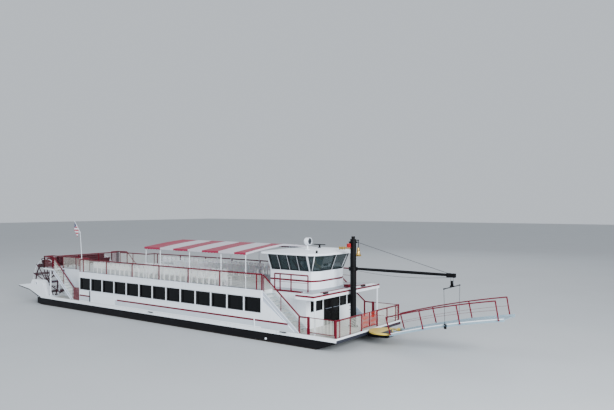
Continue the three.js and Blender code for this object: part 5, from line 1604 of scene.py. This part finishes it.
def bolts_about_shaft(radius, angles, across, half):
    """Six-sided bolts along the shaft's direction, on a circle about it."""
    middle = about_wheel(radius, 0, angles, across)
    return rods(middle - [0, half, 0], middle + [0, half, 0], 20, 6)


class MakeWheel(bpy.types.Operator):
    """Stern wheel, its beams and bearings"""

    bl_idname = "boat.wheel"
    bl_label = "Stern wheel"

    def execute(self, context):
        dress("beam", "wheel_beam_starboard", "wheel_beam_port")
        angles = (np.arange(BUCKETS) + 0.25) * 2 * np.pi / BUCKETS
        self.buckets(angles)
        self.rings(angles)
        self.bearings()
        return {"FINISHED"}

    def buckets(self, angles):
        """Each bucket is two boards one above the other, held to every ring by a strap."""
        shapes = [self.board(inner, outer, angle) for inner, outer in BOARDS for angle in angles]
        add_piece("wheel_buckets", shapes, "wheel", ["paddle_wheel"], "wheel", bevel=6)
        straps = []
        for across in RING_PLACES:
            for radius in (1900, 2150):
                ends = [about_wheel(radius, tangent, angles, across) for tangent in (18, 86)]
                straps.append(rods(*ends, 24, 6))
            ends = [about_wheel(radius, 79, angles, across) for radius in (1840, 2230)]
            straps.append(bars(*ends, 50, 8))
        add_piece("wheel_straps", straps, "grey", body="wheel", slot="wheel_red")

    def board(self, inner, outer, angle):
        """One board from side to side, between two radii."""
        near, far = BOARD_FACES
        radii, tangents = np.array([[inner, outer, outer, inner], [near, near, far, far]], float)
        sides = [about_wheel(radii, tangents, angle, across) for across in (2 - WHEEL_HALF, WHEEL_HALF - 2)]
        return facing_out(capped(np.stack(sides)))

    def rings(self, angles):
        """Three wheels of flanged hub, spokes, inner rim and white outer hoop, with braces and a shaft."""
        spokes, hoops = [], []
        turn = np.arange(84) * 2 * np.pi / 84
        for across in RING_PLACES:
            spokes.append(sweep(RIM, about_wheel(RIM_RADIUS, 0, turn, across), closed=True, upright=ACROSS))
            hoops.append(sweep(HOOP, about_wheel(HOOP_RADIUS, 0, turn, across), closed=True, upright=ACROSS))
            spokes.append(bars(*(about_wheel(radius, 0, angles, across) for radius in (300, 2190)), 56, 78))
            spokes.append(turned_about_shaft(HUB, across - np.sign(across) * 45, 28))
            spokes.append(bolts_about_shaft(265, angles, across, 44))
        # Slanted braces, as the real wheel needs to keep its rings square
        pick = angles[::2]
        for near, far in zip(RING_PLACES[:-1], RING_PLACES[1:]):
            for first, last in ((420, 1700), (1700, 420)):
                ends = about_wheel(first, 0, pick, near), about_wheel(last, 0, pick, far)
                spokes.append(rods(*ends, 22, 8))
        add_piece("wheel_spokes", spokes, "wheel", body="wheel", bevel=5)
        add_piece("wheel_hoops", hoops, "white", body="wheel", slot="wheel_red")
        add_piece("wheel_shaft", [turned_about_shaft(SHAFT, 0)], "grey", body="wheel", slot="wheel_red")

    def bearings(self):
        """Bearing caps on the beams, and the black wearing strip that wraps each beam's lower edge."""
        caps, strips = [], []
        for side in SIDES.values():
            for across in (side * (HALF_BEAM - 610), side * (HALF_BEAM + 8)):
                caps.append(turned_about_shaft(CAP, across))
                caps.append(bolts_about_shaft(215, np.arange(8) * np.pi / 4, across, 26))
            path = place(BEAM_FOOT[:, 0], side * (HALF_BEAM - 300), BEAM_FOOT[:, 1] - 8)
            strips.append(sweep([(-304, -14), (304, -14), (304, 62), (-304, 62)], densely(path)))
        add_piece("wheel_bearing_caps", caps, "white")
        add_piece("beam_wearing_strips", strips, "hull")


# Armchairs

CHAIR_PITCH = 580
CHAIR_HALF = 235
BACK_SLATS = 6
# Row name, first station, number of chairs, distance of the back from the centreline, the way the row faces
CHAIR_ROWS = [("outer", 9000, 26, 3710, -1), ("inner", 11000, 16, 1500, 1)]


def armchair():
    """One moulded armchair, with width along the first axis, depth from the back along the second.
    Seat: height falls by a parabola to the middle. Back: leans and bows as a parabola across its width."""
    across, depth = np.linspace(1, -1, 9), np.linspace(0, 1, 7)[:, None]
    seat = points_of(across * CHAIR_HALF, 70 + 385 * depth, 405 + 25 * depth ** 2 - 22 * (1 - across ** 2))
    shapes = [facing_out(capped(np.concatenate([seat, (seat - up(16))[:, ::-1]], axis=1)))]
    height = np.linspace(0, 1, 6)
    for share in np.linspace(-0.82, 0.82, BACK_SLATS):
        bow = 34 * (1 - share ** 2)
        slat = points_of(share * CHAIR_HALF, 78 - bow * 0.6 - 42 * height, 415 + 360 * height)
        shapes.append(sweep(oblong(26, 7), slat, upright=ACROSS))
    crown = across[::-1]
    bow = 1 - crown ** 2
    shapes.append(sweep(oblong(16, 34), points_of(crown * CHAIR_HALF, 36 - 34 * 0.6 * bow, 790 + 45 * bow)))
    reach = np.linspace(0, 1, 7)
    for x in (-250, 250):
        arm = points_of(x, 40 + 400 * reach, 640 + 18 * np.sin(reach * np.pi))
        shapes += [sweep(oblong(24, 9), arm), bars([x * 1.06, 410, 0], [x, 425, 640], 42, 26),
                   bars([x * 1.04, 30, 0], [x * 0.97, 58, 650], 42, 26)]
    return joined(shapes)


class MakeChairs(bpy.types.Operator):
    """Rows of moulded armchairs on the upper deck"""

    bl_idname = "boat.chairs"
    bl_label = "Armchairs"

    def execute(self, context):
        points, faces = armchair()
        for row, first, count, back, way in CHAIR_ROWS:
            for word, side in SIDES.items():
                middle = place(first + CHAIR_PITCH * (np.arange(count) + 0.5), side * back, UPPER_DECK)
                # Half a turn about the upright axis where the row faces starboard
                many = (middle[:, None] + (points * [side * way, side * way, 1])[None]).reshape(-1, 3)
                add_piece(f"armchairs_{row}_{word}", [(many, repeated(faces, count, len(points)))], "chair",
                          [f"chairs_{row}_{word}"])
        return {"FINISHED"}


# Awning

AWNING = (7150, 17400)
AWNING_PROFILE = [(0, WATER + 6250), (1500, WATER + 6130), (2800, WATER + 5990), (3880, WATER + 5850)]
AWNING_EDGE = 3880
AWNING_FRAMES = np.array([7250, 9500, 12600, 15700, 17300])
AWNING_STRIPES = [(7160, 8200), (9650, 11250), (12670, 14190), (15630, 17420)]
# Distance from the centreline of each long tube, and how far it runs below the cloth's line. The cloth sags
# between the frames, so the tubes beside the ridge run under the bows
LONG_TUBES = [(0, 48), (-1500, 84), (1500, 84), (-2800, 84), (2800, 84)]
VALANCE = 150
FRONT_VALANCE = VALANCE * 0.9
FRAME_POST_LINE = 3780
CANVAS_METRES = 0.0015


def awning_height(across):
    """Height of the cloth's line over a distance from the centreline, along its straight-sided profile."""
    return np.interp(np.abs(across), *np.transpose(AWNING_PROFILE))


class MakeAwning(bpy.types.Operator):
    """Striped awning on its tube frame"""

    bl_idname = "boat.awning"
    bl_label = "Awning"

    def execute(self, context):
        self.cloth()
        across = np.linspace(-FRAME_POST_LINE, FRAME_POST_LINE, 33)
        tubes = [pipe(place(aft, across, awning_height(across) - 50), 22, 12) for aft in AWNING_FRAMES]
        ends = AWNING_FRAMES[[0, -1]]
        tubes += [rods(*place(ends, line, awning_height(line) - drop), 16) for line, drop in LONG_TUBES]
        eave = awning_height(FRAME_POST_LINE) - 58
        for side in SIDES.values():
            feet = place(AWNING_FRAMES, side * FRAME_POST_LINE, UPPER_DECK)
            tubes += [rods(*place(ends, side * FRAME_POST_LINE, eave), 18),
                      rods(feet, feet + up(eave - UPPER_DECK), 24, 14), rods(feet, feet + up(14), 62, 16)]
        add_piece("awning_tubes", tubes, "white", ["awning_frame"])
        return {"FINISHED"}

    def cloth(self):
        """Height over (aft, across): the profile, less a sag of sin^2 between the frames, and fine ripples
        near the eaves. The last rows hang straight down to a scalloped edge."""
        size = sizes()
        aft = np.linspace(AWNING[0] + 4, AWNING[1] - 4, 300)[:, None]
        across = np.linspace(0, AWNING_EDGE - 2, 44)
        gap = np.interp(aft, AWNING_FRAMES, np.arange(5)) % 1
        between = np.sin(np.pi * gap) ** 2 * (aft > AWNING_FRAMES[0]) * (aft < AWNING_FRAMES[-1])
        sag = size.awning_sag * between * np.sin(np.pi * across / AWNING_EDGE) ** 0.5
        ripple = 5 * np.sin(aft / 170) * (across / AWNING_EDGE) ** 6
        roof = points_of(BOW - aft, across, awning_height(across) - 6 - sag + ripple)
        drop = np.linspace(0, 1, 7)[1:]
        edge = VALANCE * (0.78 + 0.2 * np.abs(np.sin(np.pi * (aft - AWNING[0]) / size.scallop)))
        swing = np.abs(4 * np.sin(aft / 110) * drop)
        skirt = points_of(BOW - aft, AWNING_EDGE - 3 - swing, roof[:, -1:, 2] - edge * drop)
        half = np.concatenate([roof, skirt], axis=1)
        full = np.concatenate([half[:, :0:-1] * [1, -1, 1], half], axis=1)
        # A valance across the front edge too
        top_edge = full[0, len(drop):-len(drop)]
        front = top_edge[None] - np.append(0, drop)[:, None, None] * up(FRONT_VALANCE)
        # Columns run to port and rows run aft, so the cloth faces up
        shape = welded(*joined([grid(full[::-1]), grid(front)]))
        cloth = add_piece("awning_cloth", [shape], "canvas", ["awning"])
        thick = cloth.modifiers.new("Canvas", "SOLIDIFY")
        thick.thickness = CANVAS_METRES
        thick.offset = -1


# Flag

STAFF_LINE = -3790
STAFF = (place(25380, STAFF_LINE, UPPER_DECK + 3.6), place(25700, STAFF_LINE, WATER + 6770))
GAFF = (place(25685, STAFF_LINE, WATER + 6700), place(26560, STAFF_LINE, WATER + 7720))
STAFF_SHOE = [(0, 0), (70, 0), (70, 16), (34, 30), (32, 150), (0, 150)]
BALL_RADIUS = 34
# The flag's lower edge, and its height from there to the gaff's top
FLAG_FOOT = (place(26100, STAFF_LINE, WATER + 6340), place(26600, STAFF_LINE, WATER + 6960))
FLAG_HEIGHT = 1260


class MakeFlag(bpy.types.Operator):
    """Flagstaff and the furled flag on its gaff"""

    bl_idname = "boat.flag"
    bl_label = "Flag"

    def execute(self, context):
        foot, top = STAFF
        turn = np.linspace(-np.pi / 2, np.pi / 2, 9)
        radius = BALL_RADIUS * np.cos(turn)
        radius[[0, -1]] = 0
        ball = np.stack([radius, BALL_RADIUS * np.sin(turn)], axis=1)
        low, out = top - up(70), [-150, 0, 0]
        staff = [rods(foot, top, 29, 14, 18), rods(*GAFF, 19, 12, 13),
                 lathe(STAFF_SHOE, [*foot[:2], UPPER_DECK], sides=18), lathe(ball, low + out, sides=16),
                 rods(low, low + out, 9, 8)]
        add_piece("flag_staff", staff, "white", ["flagstaff"])
        self.flag()
        return {"FINISHED"}

    def flag(self):
        """Cloth hung from the gaff: point = edge + u along the gaff, v down the drop, and folds that are a
        sine across u, growing downwards."""
        u, v = np.linspace(0, 1, 46)[:, None], np.linspace(0, 1, 26)
        along = GAFF[1] - GAFF[0]
        unit = along / np.linalg.norm(along)
        start, end = GAFF[0] + along * 0.2, GAFF[0] + along * 0.9
        width = np.linalg.norm(end - start)
        under = np.array([-unit[2], 0, unit[0]]) * 20
        head = start + (end - start) * u + np.where(under[2] > 0, -under, under)
        foot = FLAG_FOOT[0] + (FLAG_FOOT[1] - FLAG_FOOT[0]) * u
        sheet = head[:, None] + (foot - head)[:, None] * v[None, :, None]
        sheet[..., 1] += 9.5 * np.sin(u * 6 * np.pi + v * 1.4) * np.clip(v * 3, 0, 1)
        flag = add_piece("flag_cloth", [grid(sheet)], "bunting", ["flag"], smooth=180)
        layer = flag.data.uv_layers.new(name="cloth")
        corners = np.zeros(len(flag.data.loops), np.int32)
        flag.data.loops.foreach_get("vertex_index", corners)
        points = np.zeros(len(flag.data.vertices) * 3, np.float32)
        flag.data.vertices.foreach_get("co", points)
        points = points.reshape(-1, 3)[corners] / MM
        share = np.clip(((points - start) @ unit) / width, 0, 1)
        height = np.clip((points[:, 2] - FLAG_FOOT[0][2]) / FLAG_HEIGHT, 0, 1)
        layer.data.foreach_set("uv", np.stack([share, height], axis=1).astype(np.float32).ravel())


# Stage

CAMERA_PLACE = (18.03, -17.35, 4.85)
CAMERA_AIM = (-0.5934, 0.805, 0)
CAMERA_LENS = 36.82
CAMERA_SHIFT = 0.0033
# The laden boat sits 250 mm deeper than her light waterline
FLOOR_Z = (WATER + 250) * MM
FLOOR_REACH = 150
SKY, SKY_STRENGTH = "#dfe6ee", 0.9
LIGHT_COLOUR = (0.93, 0.97, 1)
# Soft lights: name, place, power in watts and size in metres. All point at the boat's middle
LIGHTS = [("Key", (32, -14, 12), 18000, 14), ("Fill", (-16, -30, 20), 6500, 20),
          ("Back", (-6, 30, 22), 2200, 22)]
LIGHT_AIM = (1, 0, 1.4)


def aim(thing, direction):
    thing.rotation_mode = "QUATERNION"
    thing.rotation_quaternion = Vector(direction).to_track_quat("-Z", "Y")


class MakeStage(bpy.types.Operator):
    """Camera, pale floor at the waterline and soft lights"""

    bl_idname = "boat.stage"
    bl_label = "Stage"

    def execute(self, context):
        camera = bpy.data.objects.new("Camera", bpy.data.cameras.new("Camera"))
        context.scene.collection.objects.link(camera)
        camera.location = CAMERA_PLACE
        aim(camera, CAMERA_AIM)
        camera.data.lens = CAMERA_LENS
        camera.data.sensor_width = 36
        camera.data.shift_y = CAMERA_SHIFT
        camera.data.clip_end = 1000
        context.scene.camera = camera
        self.floor(context)
        self.lights(context)
        return {"FINISHED"}

    def floor(self, context):
        mesh = bpy.data.meshes.new("Floor")
        corners = [(x, y, FLOOR_Z) for x, y in oblong(FLOOR_REACH, FLOOR_REACH)]
        mesh.from_pydata(corners, [], [(0, 1, 2, 3)])
        made = Finish("Pale studio floor", 0.6)
        made.colour(made.noise(3000), "#b0b3b6", "#b8bbbe")
        mesh.materials.append(made.material)
        floor = bpy.data.objects.new("Floor", mesh)
        context.scene.collection.objects.link(floor)

    def lights(self, context):
        world = bpy.data.worlds.new("Overcast studio")
        world.use_nodes = True
        sky = world.node_tree.nodes["Background"].inputs
        sky["Color"].default_value = linear(SKY)
        sky["Strength"].default_value = SKY_STRENGTH
        context.scene.world = world
        for name, spot, energy, size in LIGHTS:
            light = bpy.data.lights.new(name, "AREA")
            light.energy = energy
            light.size = size
            light.color = LIGHT_COLOUR
            lamp = bpy.data.objects.new(name, light)
            context.scene.collection.objects.link(lamp)
            lamp.location = spot
            aim(lamp, Vector(LIGHT_AIM) - Vector(spot))


OPERATORS = [MakeStage, MakeHull, MakeCabins, MakeUpperDeck, MakeRailings, MakeStairs, MakeGates, MakeDoors,
             MakePilotHouse, MakeMast, MakeBoom, MakeLandingStage, MakeWheel, MakeChairs, MakeAwning,
             MakeFlag]


class BoatPanel(bpy.types.Panel):
    """Lists the boat's colours, sizes and pieces"""

    bl_idname = "VIEW3D_PT_boat"
    bl_label = "Stern-wheel boat"
    bl_space_type = "VIEW_3D"
    bl_region_type = "UI"
    bl_category = "Boat"

    def draw(self, context):
        for group in (context.scene.boat_colours, context.scene.boat_sizes):
            for name in group.bl_rna.properties.keys():
                if name not in ("rna_type", "name"):
                    self.layout.prop(group, name)
        for operator in OPERATORS:
            self.layout.operator(operator.bl_idname)


CLASSES = [BoatColours, BoatSizes, *OPERATORS, BoatPanel]


def register():
    for kind in CLASSES:
        bpy.utils.register_class(kind)
    bpy.types.Scene.boat_colours = bpy.props.PointerProperty(type=BoatColours)
    bpy.types.Scene.boat_sizes = bpy.props.PointerProperty(type=BoatSizes)


def unregister():
    del bpy.types.Scene.boat_sizes
    del bpy.types.Scene.boat_colours
    for kind in reversed(CLASSES):
        bpy.utils.unregister_class(kind)


def main():
    """Registers the add-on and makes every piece."""
    register()
    for operator in OPERATORS:
        group, name = operator.bl_idname.split(".")
        getattr(getattr(bpy.ops, group), name)()


if __name__ == "__main__":
    main()
